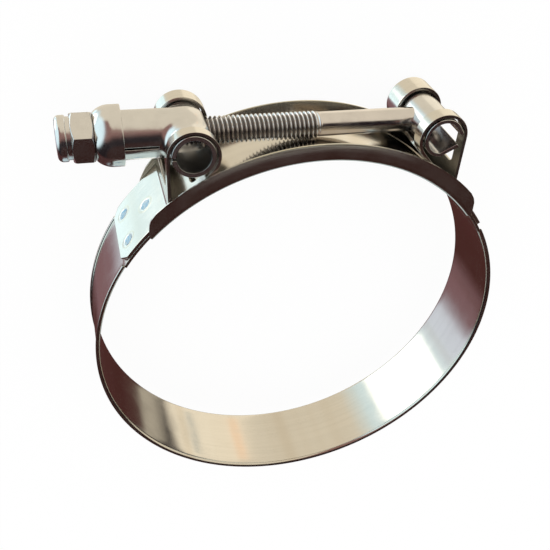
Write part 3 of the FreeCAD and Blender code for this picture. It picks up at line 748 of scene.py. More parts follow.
def painted_flange_sheen(radius, turn, z):
    """Dull film on the flanges, as products of smooth steps in radius and turn.

    It rises to 1 at the top of either flange mid-way, and to 2 at the far one's left end.
    """
    centre, full_to, gone_at = np.radians((-3, 8, 34))
    end_from, end_full = np.radians((33, 41))
    top = smooth_step(53.2 * MM, 55.6 * MM, radius)
    above_web = smooth_step(52.0 * MM, 52.6 * MM, radius)
    middle = 1 - smooth_step(full_to, gone_at, np.abs(turn - centre))
    left_end = np.where(z < 0, smooth_step(end_from, end_full, -turn), 0.0)
    return top * middle + 2.0 * left_end * above_web


class ClampBridge(bpy.types.Operator):
    """Build the bridge that spans the gap between the loops"""
    bl_idname = "clamp.bridge"
    bl_label = "Bridge"

    def execute(self, context):
        bridge = bridge_piece()
        finish_piece(bridge, sheet_material("bridge_steel", finishes().band_colour),
                     ["bridge"])
        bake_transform(bridge)
        return {"FINISHED"}


# Tee

def smooth_join(a, b, k):
    """Distance to the union of two shapes with a blend of reach k.

    It is b (1 - h) + a h - k h (1 - h), with h = 0.5 + 0.5 (b - a) / k kept within 0 and 1.
    """
    h = np.clip(0.5 + 0.5 * (b - a) / k, 0.0, 1.0)
    return b * (1 - h) + a * h - k * h * (1 - h)


def smooth_limit(a, b, k):
    """Distance to what two shapes have in common, its edge rounded by k."""
    return -smooth_join(-a, -b, k)


def tee_distance(p):
    """Signed distance, about, of the tee's metal in its own frame.

    Outside: cross tube, neck and shoulder ball, blended. Taken out of it: both bores, the bolt's
    exit hole, the open seam along the neck and the one at either end of the cross tube.
    """
    f, b = fitting_sizes(), band_sizes()
    x, y, z = p[:, 0], p[:, 1], p[:, 2]
    rim, inner_blend = 0.22 * MM, 0.4 * MM
    tube_r, neck_r = f.tube_diameter / 2, f.neck_diameter / 2
    low = y + b.left_drop
    from_tube, from_neck, from_centre = np.hypot(x, low), np.hypot(y, z), np.linalg.norm(p, axis=1)
    tube = smooth_limit(from_tube - tube_r, np.abs(z) - f.tube_length / 2, rim)
    neck = smooth_limit(from_neck - neck_r, -f.neck_length - x, rim)
    neck = np.where(x > 0, from_centre - neck_r, neck)
    outside = smooth_join(tube, neck, f.neck_blend)
    bore = from_tube - (tube_r - f.tube_wall)
    neck_bore = np.where(x > 0, from_centre, from_neck) - (neck_r - f.tube_wall)
    exit_hole = np.maximum(from_neck - f.exit_hole / 2, -x)
    hollow = smooth_join(smooth_join(bore, neck_bore, inner_blend), exit_hole, inner_blend)
    sine, cosine = math.sin(f.neck_seam_angle), math.cos(f.neck_seam_angle)
    depth = z * sine - y * cosine
    offset = y * sine + z * cosine
    seam = np.maximum(np.maximum(np.abs(offset) - f.neck_seam / 2, -depth),
                      x + tube_r + f.neck_blend)
    half_gap = f.tube_seam / 2
    tube_seam = np.maximum(np.maximum(np.abs(low + half_gap) - half_gap, x),
                           f.seam_start - np.abs(z))
    gaps = np.minimum(seam, tube_seam)
    return smooth_limit(smooth_limit(outside, -hollow, rim), -gaps, rim * 0.6)


def slope(function, p, step=0.01 * MM):
    """Gradient of a distance by central differences."""
    parts = []
    for axis in range(3):
        shift = np.zeros(3)
        shift[axis] = step
        parts.append((function(p + shift) - function(p - shift)) / (2 * step))
    return np.stack(parts, axis=1)


def settle(piece, function, origin, rounds):
    """Move points onto the surface function(p) = 0, and give them its normals.

    Each round is a Newton step, p - f g / |g|^2 with g the slope, cut to the longest step.
    """
    flattest, longest = 0.2, 0.2 * MM
    mesh = piece.data
    p = points_of(mesh) - origin
    for _ in range(rounds):
        f, g = function(p), slope(function, p)
        step = f[:, None] * g / np.maximum((g ** 2).sum(axis=1), flattest)[:, None]
        p = p - np.clip(step, -longest, longest)
    g = slope(function, p, 0.03 * MM)
    g /= np.maximum(np.linalg.norm(g, axis=1), 1e-9)[:, None]
    mesh.vertices.foreach_set("co", (p + origin).ravel())
    mesh.polygons.foreach_set("use_smooth", np.ones(len(mesh.polygons), bool))
    mesh.update()
    mesh.normals_split_custom_set_from_vertices(g.tolist())


def solid_rod(radius, start, end, sides=64):
    """Closed round rod from start to end, in the tee's frame."""
    start, end = np.asarray(start, float), np.asarray(end, float)
    along = (end - start) / np.linalg.norm(end - start)
    slanted = (0.3, 0.5, 0.8)
    first = np.cross(along, slanted)
    first /= np.linalg.norm(first)
    second = np.cross(along, first)
    turn = np.linspace(0, 2 * np.pi, sides, endpoint=False)[:, None]
    ring = radius * (np.cos(turn) * first + np.sin(turn) * second)
    piece = grid_piece("rod", np.stack([start + ring, end + ring]), np.zeros(3),
                       np.zeros(sides + 1), close_columns=True, caps=True)
    mesh_work(piece)
    return piece


def solid_block(low, high, turn=None):
    """Closed block between two corners, turned about the X axis."""
    corners = np.array([[x, y, z] for x in (low[0], high[0]) for y in (low[1], high[1])
                        for z in (low[2], high[2])])
    if turn:
        y, z = corners[:, 1].copy(), corners[:, 2].copy()
        corners[:, 1] = y * math.cos(turn) - z * math.sin(turn)
        corners[:, 2] = y * math.sin(turn) + z * math.cos(turn)
    faces = [[0, 1, 3, 2], [4, 6, 7, 5], [0, 4, 5, 1], [2, 3, 7, 6], [0, 2, 6, 4], [1, 5, 7, 3]]
    piece = new_mesh("block", corners, faces)
    mesh_work(piece)
    return piece


def combine(base, operation, tools):
    """Join tools to a solid or cut them out of it, and drop the tools."""
    for tool in tools:
        step = base.modifiers.new("step", "BOOLEAN")
        step.operation = operation
        step.object = tool
        step.solver = "EXACT"
    apply_modifiers(base)
    for tool in tools:
        bpy.data.objects.remove(tool)


def rough_tee():
    """Tee of plain rods and blocks, which has the real one's openings but no blends."""
    f, b = fitting_sizes(), band_sizes()
    tube_r, neck_r, half = f.tube_diameter / 2, f.neck_diameter / 2, f.tube_length / 2
    drop, spare, skin = -b.left_drop, 2.0 * MM, 0.1 * MM
    neck_end, neck_bore_end = neck_r * 0.8, neck_r * 0.45
    reach = neck_r + spare
    solid = solid_rod(tube_r, (0, drop, -half), (0, drop, half))
    combine(solid, "UNION", [solid_rod(neck_r, (-f.neck_length, 0, 0), (neck_end, 0, 0))])
    seam = solid_block((-f.neck_length - spare, -f.neck_seam / 2, 0),
                       (-tube_r - f.neck_blend, f.neck_seam / 2, reach),
                       math.pi / 2 - f.neck_seam_angle)
    cuts = [solid_rod(tube_r - f.tube_wall, (0, drop, -half - spare), (0, drop, half + spare)),
            solid_rod(neck_r - f.tube_wall, (-f.neck_length - spare, 0, 0), (neck_bore_end, 0, 0)),
            solid_rod(f.exit_hole / 2, (0, 0, 0), (reach, 0, 0)), seam]
    for low, high in ((f.seam_start, half + spare), (-half - spare, -f.seam_start)):
        cuts.append(solid_block((-tube_r - spare, drop - f.tube_seam, low), (-skin, drop, high)))
    combine(solid, "DIFFERENCE", cuts)
    return solid


def tee_piece():
    """Tee: a rough solid with its openings, remeshed evenly and settled onto the distance."""
    f, b = fitting_sizes(), band_sizes()
    piece = rough_tee()
    piece.name = piece.data.name = "tee_trunnion"
    remesh = piece.modifiers.new("even", "REMESH")
    remesh.mode = "VOXEL"
    remesh.voxel_size = 0.18 * MM
    apply_modifiers(piece)
    pivot = pivot_of(-1)
    piece.data.transform(Matrix.Translation(pivot.tolist()))
    settle(piece, tee_distance, pivot, 8)
    bore, shell = f.tube_diameter / 2 - f.tube_wall, f.neck_diameter / 2 - f.tube_wall

    def inside_tubes(p):
        """1 on the inner faces of tube and neck, falling to 0 within the skin."""
        x, y, z = (p - pivot).T
        deepest = np.maximum(bore - np.hypot(x, y + b.left_drop), shell - np.hypot(y, z))
        return deepest / (f.tube_wall * SKIN_SHARE) + 1.0

    # Painted shade: the inner faces of the tube and neck get darker, duller steel.
    mark_painted_pocket_shade(piece, inside_tubes)
    return piece


class ClampTee(bpy.types.Operator):
    """Build the rolled tee that the bolt passes through"""
    bl_idname = "clamp.tee"
    bl_label = "Tee"

    def execute(self, context):
        tee = tee_piece()
        finish_piece(tee, fitting_material("tee_steel", finishes().fitting_colour),
                     ["tee"])
        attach(tee, "tee")
        return {"FINISHED"}


# Turned pieces

MERGE = 1e-7  # points closer than this, in metres, become one


def turned_piece(name, outline, place, count=96):
    """Closed outline (x, radius) turned about the X axis through a place."""
    turn = np.linspace(0, 2 * np.pi, count, endpoint=False)
    radius = np.broadcast_to(outline[:, 1:], (len(outline), count))
    along = travelled(np.concatenate([outline, outline[:1]]))
    around = np.linspace(0, 2 * np.pi, count + 1) * outline[:, 1].max()
    piece = grid_piece(name, round_x(outline[:, 0], radius, turn, place), along, around,
                       close_rows=True, close_columns=True)
    mesh_work(piece, merge=MERGE)
    smooth(piece, 30)
    return piece


def cap_outline():
    """Section of the pressed cap: floor, dome, straight side, rim and inside."""
    f, bolt = fitting_sizes(), bolt_sizes()
    outside, fit = f.cap_diameter / 2, f.neck_diameter / 2 + f.cap_fit
    inner_floor = -f.neck_length - f.cap_fit
    floor = inner_floor - f.cap_floor
    rim = floor + f.cap_length
    hole = bolt.diameter / 2 + 0.4 * MM
    rise = outside - f.cap_face
    radius = (f.cap_dome ** 2 + rise ** 2) / (2 * rise)
    start = math.pi / 2 + math.asin(f.cap_dome / radius)
    dome = arc_points((floor + f.cap_dome, outside - radius), radius, start, math.pi / 2, 22)
    corner, edge, ease, flat_end = dome[0], 0.16 * MM, 0.35 * MM, 0.6 * MM
    onward = (dome[3] - corner) / np.linalg.norm(dome[3] - corner)
    return np.concatenate([
        line_points((floor, hole), corner - (0, flat_end), 6),
        rounded_corner(corner - (0, ease), corner, corner + onward * ease),
        dome[4:],
        line_points(dome[-1], (rim - edge, outside), 8)[1:],
        rounded_corner((rim - edge, outside), (rim, outside), (rim, outside - edge)),
        rounded_corner((rim, fit + edge), (rim, fit), (rim - edge, fit)),
        line_points((inner_floor, fit), (inner_floor, hole), 4)])


class ClampCap(bpy.types.Operator):
    """Build the pressed cap that the nut bears on"""
    bl_idname = "clamp.cap"
    bl_label = "Cap"

    def execute(self, context):
        cap = turned_piece("pressed_cap", cap_outline(), pivot_of(-1), 128)
        finish_piece(cap, fitting_material("cap_steel", finishes().fitting_colour),
                     ["cap"])
        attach(cap, "tee")
        return {"FINISHED"}


# Nut

def nut_face():
    """Where the nut begins, along X from the tee's axis."""
    f, bolt = fitting_sizes(), bolt_sizes()
    return -f.neck_length - f.cap_fit - f.cap_floor - bolt.nut_gap


def hexagon_grid():
    """Places along the nut, turns round it and the hexagon's radius there.

    The radius is flat / cos(a), with a the angle from the nearest flat, and is limited by the
    chamfer cones. The smaller of the two is taken with a soft minimum, which eases the edges.
    """
    n = bolt_sizes()
    start = nut_face()
    end = start - n.nut_hexagon
    flats, chamfer, sixth = n.nut_flats / 2, n.nut_chamfer * 1.3, math.pi / 3
    cone_slope, cone_face, edge_ease = 0.58, flats * 0.955, 0.12 * MM
    x = np.concatenate([np.linspace(start, start - chamfer, 22),
                        np.linspace(start - chamfer, end + chamfer, 6)[1:-1],
                        np.linspace(end + chamfer, end, 22)])
    half = np.concatenate([np.linspace(0, 0.8, 10)[:-1], np.linspace(0.8, 1.0, 14)])
    sector = np.concatenate([half, 2 - half[::-1][1:]])[:-1] * sixth / 2
    turn = n.nut_corner - sixth / 2 + np.concatenate([sector + k * sixth for k in range(6)])
    away = np.mod(turn - n.nut_corner + sixth, sixth) - sixth / 2
    limit = cone_face + np.minimum(start - x, x - end) / cone_slope
    radius = smooth_join((flats / np.cos(away))[None, :], limit[:, None], edge_ease)
    return x, turn, radius


def collar_section():
    """Section (x, radius) of the nut from the hexagon's end over the collar into the bore."""
    n = bolt_sizes()
    hexagon_end = nut_face() - n.nut_hexagon
    end = hexagon_end - n.collar_length
    collar, mouth, rounding = n.collar_diameter / 2, n.collar_mouth / 2, n.collar_round
    groove, groove_x = collar - n.collar_depth, hexagon_end - n.collar_groove
    flare, lip = 0.1 * MM, 0.1 * MM
    return np.concatenate([
        [(hexagon_end, groove), (groove_x, groove)],
        rounded_corner((groove_x - 0.5 * flare, groove), (groove_x - 1.2 * flare, collar),
                       (groove_x - 3.0 * flare, collar), 6),
        line_points((groove_x - 4.0 * flare, collar), (end + rounding, collar), 5),
        arc_points((end + rounding, collar - rounding), rounding, np.pi / 2, np.pi, 12)[1:],
        [(end, mouth + lip)],
        rounded_corner((end, mouth + lip), (end, mouth), (end + lip, mouth), 4)[1:],
        crimp_inside(mouth, n.diameter / 2 + n.play)])


def nut_piece():
    """Nut: bore, hexagon and collar on one grid of x and turn."""
    n = bolt_sizes()
    hexagon_x, turn, hexagon = hexagon_grid()
    tail = collar_section()
    start, bore_step = nut_face(), 3.0 * MM
    collar, bore = n.collar_diameter / 2, n.diameter / 2 + n.play
    x = np.concatenate([[start - bore_step, start], hexagon_x, tail[:, 0]])
    radius = np.concatenate([np.full((2, len(turn)), bore), hexagon,
                             np.broadcast_to(tail[:, 1:], (len(tail), len(turn)))])
    piece = grid_piece("lock_nut", round_x(x, radius, turn, pivot_of(-1)), np.append(x, x[0]),
                       np.append(turn, turn[0] + 2 * np.pi) * collar,
                       close_rows=True, close_columns=True)
    mesh_work(piece, merge=MERGE)
    smooth(piece, 28)
    return piece


def crimp_inside(mouth, bore):
    """Section of the pocket that holds the locking ring, from the crimped mouth to the bore."""
    n = bolt_sizes()
    pocket, ring_from = n.ring_diameter / 2, ring_face()
    crimp = ring_from - n.ring_length - n.ring_fit
    return np.array([(crimp, mouth), (crimp, pocket), (ring_from, pocket), (ring_from, bore)])


def ring_face():
    """Where the locking ring begins, just past the hexagon."""
    return nut_face() - bolt_sizes().nut_hexagon - 0.1 * MM


def ring_outline():
    """Section of the nylon ring, with the bore's edge eased where the thread has cut it."""
    n = bolt_sizes()
    bore, outside, ease = n.diameter / 2 + 0.01 * MM, n.ring_diameter / 2 - n.ring_fit, 0.2 * MM
    start = ring_face()
    end = start - n.ring_length
    return np.concatenate([
        [(start, bore), (start, outside)],
        rounded_corner((end + ease, outside), (end, outside), (end, outside - ease)),
        rounded_corner((end, bore + ease), (end, bore), (end + ease, bore))])


class ClampNut(bpy.types.Operator):
    """Build the locking nut and the nylon ring in its collar"""
    bl_idname = "clamp.nut"
    bl_label = "Nut"

    def execute(self, context):
        nut = nut_piece()
        finish_piece(nut, fitting_material("nut_steel", finishes().fitting_colour),
                     ["nut"])
        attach(nut, "nut")
        ring = turned_piece("nylon_ring", ring_outline(), pivot_of(-1), 64)
        finish_piece(ring, nylon_material(), ["nut_insert"])
        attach(ring, "nut")
        return {"FINISHED"}


# Bolt

def bolt_piece():
    """Bolt: a threaded rod on one grid of x and turn.

    The thread's radius is root + depth * wave(x / pitch - turn / 2 pi), where the wave rises
    and falls as a triangle with flat roots and crests. The depth fades to the plain shank.
    """
    n = bolt_sizes()
    major, shank, pitch = n.diameter / 2, n.shank / 2, n.pitch
    tip = n.head_end - n.total
    runout = tip + n.thread
    rows_per_pitch, count = 16, 56
    flat_root, flank, depth = 0.16, 0.70, 0.61 * MM
    fade_from, fade_to, last_row = runout - 0.2 * pitch, runout + 1.6 * pitch, runout + 2.2 * pitch
    edge, pole = 0.1 * MM, 0.02 * MM
    x_thread = np.arange(tip + edge, last_row, pitch / rows_per_pitch)
    x_shank = np.linspace(x_thread[-1], n.head_end - n.crown, 40)[1:]
    turn = np.linspace(0, 2 * np.pi, count, endpoint=False)
    phase = np.mod(x_thread[:, None] / pitch - turn[None, :] / (2 * np.pi), 1.0)
    wave = np.clip((1 - np.abs(2 * phase - 1) - flat_root) / flank, 0.0, 1.0)
    root = major - depth
    fade = smooth_step(fade_from, fade_to, x_thread)[:, None]
    body = (root + depth * wave) * (1 - fade) + shank * fade
    begin = np.clip((x_thread - tip) / n.tip_chamfer, 0, 1)[:, None]
    body = np.minimum(body, root - edge + begin * (major - root + edge))
    crown_r = (shank ** 2 + n.crown ** 2) / (2 * n.crown)
    crown = arc_points((n.head_end - crown_r, 0), crown_r, math.asin(shank / crown_r), 0.0, 14)[1:]
    x = np.concatenate([[tip], x_thread, x_shank, crown[:, 0]])
    radius = np.concatenate([np.full((1, count), root - 2 * edge), body,
                             np.full((len(x_shank), count), shank),
                             np.broadcast_to(crown[:, 1:], (len(crown), count))])
    radius[-1] = pole
    pivot = pivot_of(1)
    piece = grid_piece("threaded_bolt", round_x(x, radius, turn, pivot), x - tip,
                       np.linspace(0, 2 * np.pi, count + 1) * major, close_columns=True, caps=True)
    mesh_work(piece)
    smooth(piece, 50)

    def root_depth(p):
        """How deep a point lies in the thread, 0 at the crests and 1 at the roots."""
        out = np.hypot(p[:, 1] - pivot[1], p[:, 2])
        return np.where(p[:, 0] - pivot[0] < runout, (major - out) / depth * 1.25 - 0.2, 0.0)

    # Painted shade in the thread's roots: darker, duller steel between the crests.
    mark_painted_pocket_shade(piece, root_depth)
    return piece


def head_line():
    """Middle line of the rolled T head: upper lip, roll, lower bend and lower lip."""
    f = fitting_sizes()
    middle = (f.head_diameter - f.head_wall) / 2
    first, last = f.head_upper_angle, 2 * math.pi - f.head_lower_angle
    upper_end = middle * np.array([math.cos(first), math.sin(first)])
    upper_way = np.array([upper_end[1], -upper_end[0]]) / middle
    bend, turn = f.head_lower_bend, f.head_lower_turn
    centre = (middle - bend) * np.array([math.cos(last), math.sin(last)])
    lower = centre + bend * np.array([math.cos(last + turn), math.sin(last + turn)])
    lower_way = np.array([-math.sin(last + turn), math.cos(last + turn)])
    return chain([
        line_points(upper_end + upper_way * f.head_upper_lip, upper_end, 8),
        arc_points((0, 0), middle, first, last, 72),
        arc_points(centre, bend, last, last + turn, 10),
        line_points(lower, lower + lower_way * f.head_lower_lip, 10)])


def head_piece():
    """T head: the rolled middle line carried along its axis, P(s, z) = pivot + (line(s), z)."""
    f = fitting_sizes()
    line, pivot = head_line(), pivot_of(1)
    z = np.linspace(-f.tube_length / 2, f.tube_length / 2, 40)
    points = np.empty((len(line), len(z), 3))
    points[..., :2] = line[:, None, :] + pivot[:2]
    points[..., 2] = z[None, :]
    piece = grid_piece("rolled_head", points, travelled(line), z)
    mesh_work(piece)
    thicken(piece, f.head_wall, 0.16 * MM)
    smooth(piece, 40)
    middle, painted_shade_depth = (f.head_diameter - f.head_wall) / 2, 0.2

    def inside_roll(p):
        """Rises from the sheet's middle to the roll's inner face."""
        depth = middle - np.hypot(p[:, 0] - pivot[0], p[:, 1] - pivot[1])
        return painted_shade_depth * smooth_step(0.0, f.head_wall * SKIN_SHARE, depth)

    # Painted shade: the roll's inner face gets somewhat darker, duller steel.
    mark_painted_pocket_shade(piece, inside_roll)
    return piece


class ClampBolt(bpy.types.Operator):
    """Build the threaded bolt and its rolled T head"""
    bl_idname = "clamp.bolt"
    bl_label = "Bolt"

    def execute(self, context):
        rod = bolt_piece()
        finish_piece(rod, fitting_material("bolt_steel", finishes().bolt_colour),
                     ["t_bolt"])
        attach(rod, "t_bolt")
        head = head_piece()
        finish_piece(head, fitting_material("head_steel", finishes().fitting_colour),
                     ["t_bolt_barrel"])
        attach(head, "t_bolt")
        return {"FINISHED"}


# Materials

FLOAT, VECTOR, COLOUR = "NodeSocketFloat", "NodeSocketVector", "NodeSocketColor"
MIX_INPUTS, MIX_RESULT = (0, 6, 7), 2  # a colour Mix node's factor and two colours, and its result
NODE_STEP = 180  # distance between nodes in the editor


class Nodes:
    """Short way to add and link the nodes of one tree. A value may be a number or a socket."""

    def __init__(self, tree):
        self.tree = tree
        self.step = 0

    def add(self, kind, settings=None, **inputs):
        """New node, placed after the last, with its settings and its inputs by name."""
        node = self.tree.nodes.new(kind)
        node.location = (self.step * NODE_STEP, 0)
        self.step += 1
        for key, value in (settings or {}).items():
            setattr(node, key, value)
        for key, value in inputs.items():
            self.put(node.inputs[key.replace("_", " ")], value)
        return node

    def put(self, socket, value):
        """Link a socket to an input, or set the input to a value."""
        if isinstance(value, bpy.types.NodeSocket):
            self.tree.links.new(value, socket)
        else:
            socket.default_value = value

    def group(self, tree, **inputs):
        """A shared group with its inputs by name."""
        return self.add("ShaderNodeGroup", {"node_tree": tree}, **inputs)

    def attribute(self, name):
        """The number that a mesh keeps under a name."""
        return self.add("ShaderNodeAttribute", {"attribute_name": name}).outputs["Fac"]

    def noise(self, vector, scale, detail, roughness=0.5):
        """Noise in space, 0 to 1."""
        return self.add("ShaderNodeTexNoise", Vector=vector, Scale=scale, Detail=detail,
                        Roughness=roughness).outputs["Fac"]

    def line_noise(self, place, scale, detail):
        """Noise along a line, 0 to 1."""
        return self.add("ShaderNodeTexNoise", {"noise_dimensions": "1D"}, W=place, Scale=scale,
                        Detail=detail).outputs["Fac"]

    def maths(self, operation, *values):
        """Result of an operation on numbers."""
        node = self.add("ShaderNodeMath", {"operation": operation})
        for socket, value in zip(node.inputs, values):
            self.put(socket, value)
        return node.outputs[0]

    def scaled(self, value, factor, more):
        """value * factor + more"""
        return self.maths("MULTIPLY_ADD", value, factor, more)

    def product(self, first, second):
        """first * second"""
        return self.maths("MULTIPLY", first, second)

    def vector(self, operation, *values):
        """Node of an operation on vectors."""
        node = self.add("ShaderNodeVectorMath", {"operation": operation})
        for socket, value in zip(node.inputs, values):
            self.put(socket, value)
        return node

    def band_pass(self, value, low, high, to_low=0.0, to_high=1.0):
        """Smooth step from to_low at low to to_high at high."""
        node = self.add("ShaderNodeMapRange", {"interpolation_type": "SMOOTHSTEP"})
        for key, item in (("Value", value), ("From Min", low), ("From Max", high),
                          ("To Min", to_low), ("To Max", to_high)):
            self.put(node.inputs[key], item)
        return node.outputs["Result"]

    def blend(self, factor, first, second):
        """Colour between two, the first at 0 and the second at 1."""
        node = self.add("ShaderNodeMix", {"data_type": "RGBA"})
        for number, item in zip(MIX_INPUTS, (factor, first, second)):
            self.put(node.inputs[number], item)
        return node.outputs[MIX_RESULT]


def built_once(name, inputs, outputs):
    """Make a function that wires a group's nodes into one that builds the group on first use.

    Each socket is given as (name, socket type, default). The wiring function gets the nodes
    and the group's inputs, and returns its results, both by name.
    """
    def wrap(wire):
        def build():
            if name in bpy.data.node_groups:
                return bpy.data.node_groups[name]
            group = bpy.data.node_groups.new(name, "ShaderNodeTree")
            for direction, sockets in (("INPUT", inputs), ("OUTPUT", outputs)):
                for label, kind, default in sockets:
                    socket = group.interface.new_socket(name=label, in_out=direction,
                                                        socket_type=kind)
                    if default is not None:
                        socket.default_value = default
            nodes = Nodes(group)
            given, result = nodes.add("NodeGroupInput"), nodes.add("NodeGroupOutput")
            for label, value in wire(nodes, given.outputs).items():
                nodes.put(result.inputs[label], value)
            return group
        build.__doc__ = wire.__doc__
        return build
    return wrap


@built_once("drawn grain",
            [("Vector", VECTOR, None), ("Along", FLOAT, 60.0), ("Across", FLOAT, 6000.0)],
            [("Height", FLOAT, None), ("Mask", FLOAT, None)])
def grain_group(nodes, given):
    """Fine drawn grain: noise stretched along the run of a sheet, as a height and a mask."""
    split = nodes.add("ShaderNodeSeparateXYZ", Vector=given["Vector"])
    stretched = nodes.add("ShaderNodeCombineXYZ",
                          X=nodes.product(split.outputs["X"], given["Along"]),
                          Y=nodes.product(split.outputs["Y"], given["Across"]),
                          Z=nodes.product(split.outputs["Z"], given["Across"])).outputs[0]
    fine, wide = nodes.noise(stretched, 1.0, 3.0), nodes.noise(stretched, 0.23, 2.0)
    return {"Height": fine, "Mask": nodes.band_pass(wide, 0.35, 0.7)}


@built_once("cross streaks",
            [("Run", FLOAT, 0.0), ("Vector", VECTOR, None), ("Waves", FLOAT, 60.0)],
            [("Height", FLOAT, None), ("Mask", FLOAT, None)])
def streak_group(nodes, given):
    """Soft streaks straight across a strip: noise along its run, as a height and a mask."""
    drift = nodes.noise(given["Vector"], 70.0, 1.0)
    place = nodes.scaled(drift, 1.0 * MM, given["Run"])
    where = nodes.product(place, given["Waves"])
    wave, fine = nodes.line_noise(where, 1.0, 2.0), nodes.line_noise(where, 2.2, 1.0)
    return {"Height": wave, "Mask": nodes.product(nodes.band_pass(wave, 0.42, 0.62),
                                                  nodes.band_pass(fine, 0.35, 0.70))}


@built_once("handled metal",
            [("Vector", VECTOR, None), ("Cloud size", FLOAT, 160.0), ("Pit size", FLOAT, 2600.0),
             ("Pit amount", FLOAT, 0.25)],
            [("Clouds", FLOAT, None), ("Pits", FLOAT, None)])
def mottle_group(nodes, given):
    """Soft cloudy marks on handled metal, with small dark pits, as two masks."""
    clouds = nodes.noise(given["Vector"], given["Cloud size"], 4.0, 0.6)
    pits = nodes.noise(given["Vector"], given["Pit size"], 2.0)
    spots = nodes.product(nodes.band_pass(pits, 0.66, 0.74), nodes.band_pass(clouds, 0.45, 0.65))
    return {"Clouds": nodes.band_pass(clouds, 0.3, 0.75),
            "Pits": nodes.product(spots, given["Pit amount"])}


@built_once("weld tints",
            [("Color", COLOUR, (0.7, 0.7, 0.7, 1)), ("Distance", FLOAT, 1.0),
             ("Vector", VECTOR, None), ("Inside", COLOUR, (0.4, 0.5, 0.6, 1)),
             ("Outside", COLOUR, (0.6, 0.5, 0.3, 1))],
            [("Color", COLOUR, None), ("Mark", FLOAT, None)])
def heat_group(nodes, given):
    """Heat tints round a spot weld from the distance to it: blue inside, bare, tan outside."""
    wander, tan_depth = 0.4 * MM, 0.30
    noise = nodes.noise(given["Vector"], 1400.0, 3.0)
    shift = nodes.scaled(noise, 2 * wander, -wander)
    distance = nodes.maths("ADD", given["Distance"], shift)
    mark = nodes.band_pass(distance, 1.35 * MM, 1.6 * MM, 1.0, 0.0)
    ring = nodes.product(nodes.band_pass(distance, 1.7 * MM, 2.0 * MM),
                         nodes.band_pass(distance, 2.0 * MM, 2.6 * MM, 1.0, 0.0))
    cloudy = nodes.product(mark, nodes.band_pass(noise, 0.35, 0.6, 0.45, 1.0))
    tinted = nodes.blend(nodes.product(ring, tan_depth), given["Color"], given["Outside"])
    return {"Color": nodes.blend(cloudy, tinted, given["Inside"]), "Mark": mark}


def four(value, scale=1.0):
    """Colour with its alpha, made brighter or darker."""
    return tuple(channel * scale for channel in value) + (1.0,)


def new_material(name):
    """Empty material with a Principled shader on its output, ready to be wired."""
    material = bpy.data.materials.new(name)
    material.use_nodes = True
    material.node_tree.nodes.clear()
    nodes = Nodes(material.node_tree)
    shader = nodes.add("ShaderNodeBsdfPrincipled")
    output = nodes.add("ShaderNodeOutputMaterial")
    nodes.put(output.inputs["Surface"], shader.outputs["BSDF"])
    return material, nodes, shader


def sheet_material(name, base):
    """Polished strip: grain along its run, streaks, handling marks, pits, film and weld tints."""
    look = finishes()
    grain_tint, streak_depth, pit_amount, pit_shade = 0.965, 0.55, 0.5, 0.25
    cloud_gloss, weld_gloss, pocket_gloss = 0.07, 0.42, 0.16
    material, nodes, shader = new_material(name)
    place = nodes.add("ShaderNodeTexCoord").outputs["Object"]
    run = nodes.add("ShaderNodeUVMap", {"uv_map": "run"}).outputs["UV"]
    along = nodes.add("ShaderNodeSeparateXYZ", Vector=run).outputs["X"]
    distance, inside, painted_sheen = map(nodes.attribute, ("weld_distance", "inside", "painted_sheen"))
    grain = nodes.group(grain_group(), Vector=run, Along=70.0, Across=5200.0).outputs
    handled = nodes.group(mottle_group(), Vector=place, Pit_amount=pit_amount).outputs
    streak = nodes.group(streak_group(), Run=along, Vector=place).outputs

    steel = nodes.blend(grain["Mask"], four(base), four(base, grain_tint))
    faint = nodes.product(streak["Mask"], streak_depth)
    # Over the steel go the streaks, the painted shade inside pockets, the painted sheen on the
    # flanges and the pits.
    for mask, over in ((faint, four(look.streak_colour)), (inside, four(base, look.painted_pocket_shade)),
                       (painted_sheen, four(look.painted_sheen_colour)), (handled["Pits"], four(base, pit_shade))):
        steel = nodes.blend(mask, steel, over)
    weld = nodes.group(heat_group(), Color=steel, Distance=distance, Vector=place,
                       Inside=four(look.blue_heat), Outside=four(look.tan_heat)).outputs
    nodes.put(shader.inputs["Base Color"], weld["Color"])

    # The painted sheen also makes the steel less metallic there, so the flange tops show a pale
    # dull colour.
    drawn = nodes.product(painted_sheen, nodes.band_pass(grain["Height"], 0.38, 0.62, 0.25, 1.0))
    nodes.put(shader.inputs["Metallic"], nodes.scaled(drawn, -look.painted_sheen_depth, 1.0))
    rough = nodes.scaled(handled["Clouds"], cloud_gloss, look.band_roughness)
    rough = nodes.scaled(weld["Mark"], weld_gloss, rough)
    nodes.put(shader.inputs["Roughness"], nodes.scaled(inside, pocket_gloss, rough))

    wavy = nodes.add("ShaderNodeBump", Strength=1.0, Distance=0.12 * MM, Height=streak["Height"])
    bump = nodes.add("ShaderNodeBump", Strength=0.08, Distance=0.02 * MM, Height=grain["Height"],
                     Normal=wavy.outputs["Normal"])
    nodes.put(shader.inputs["Normal"], bump.outputs["Normal"])
    return material


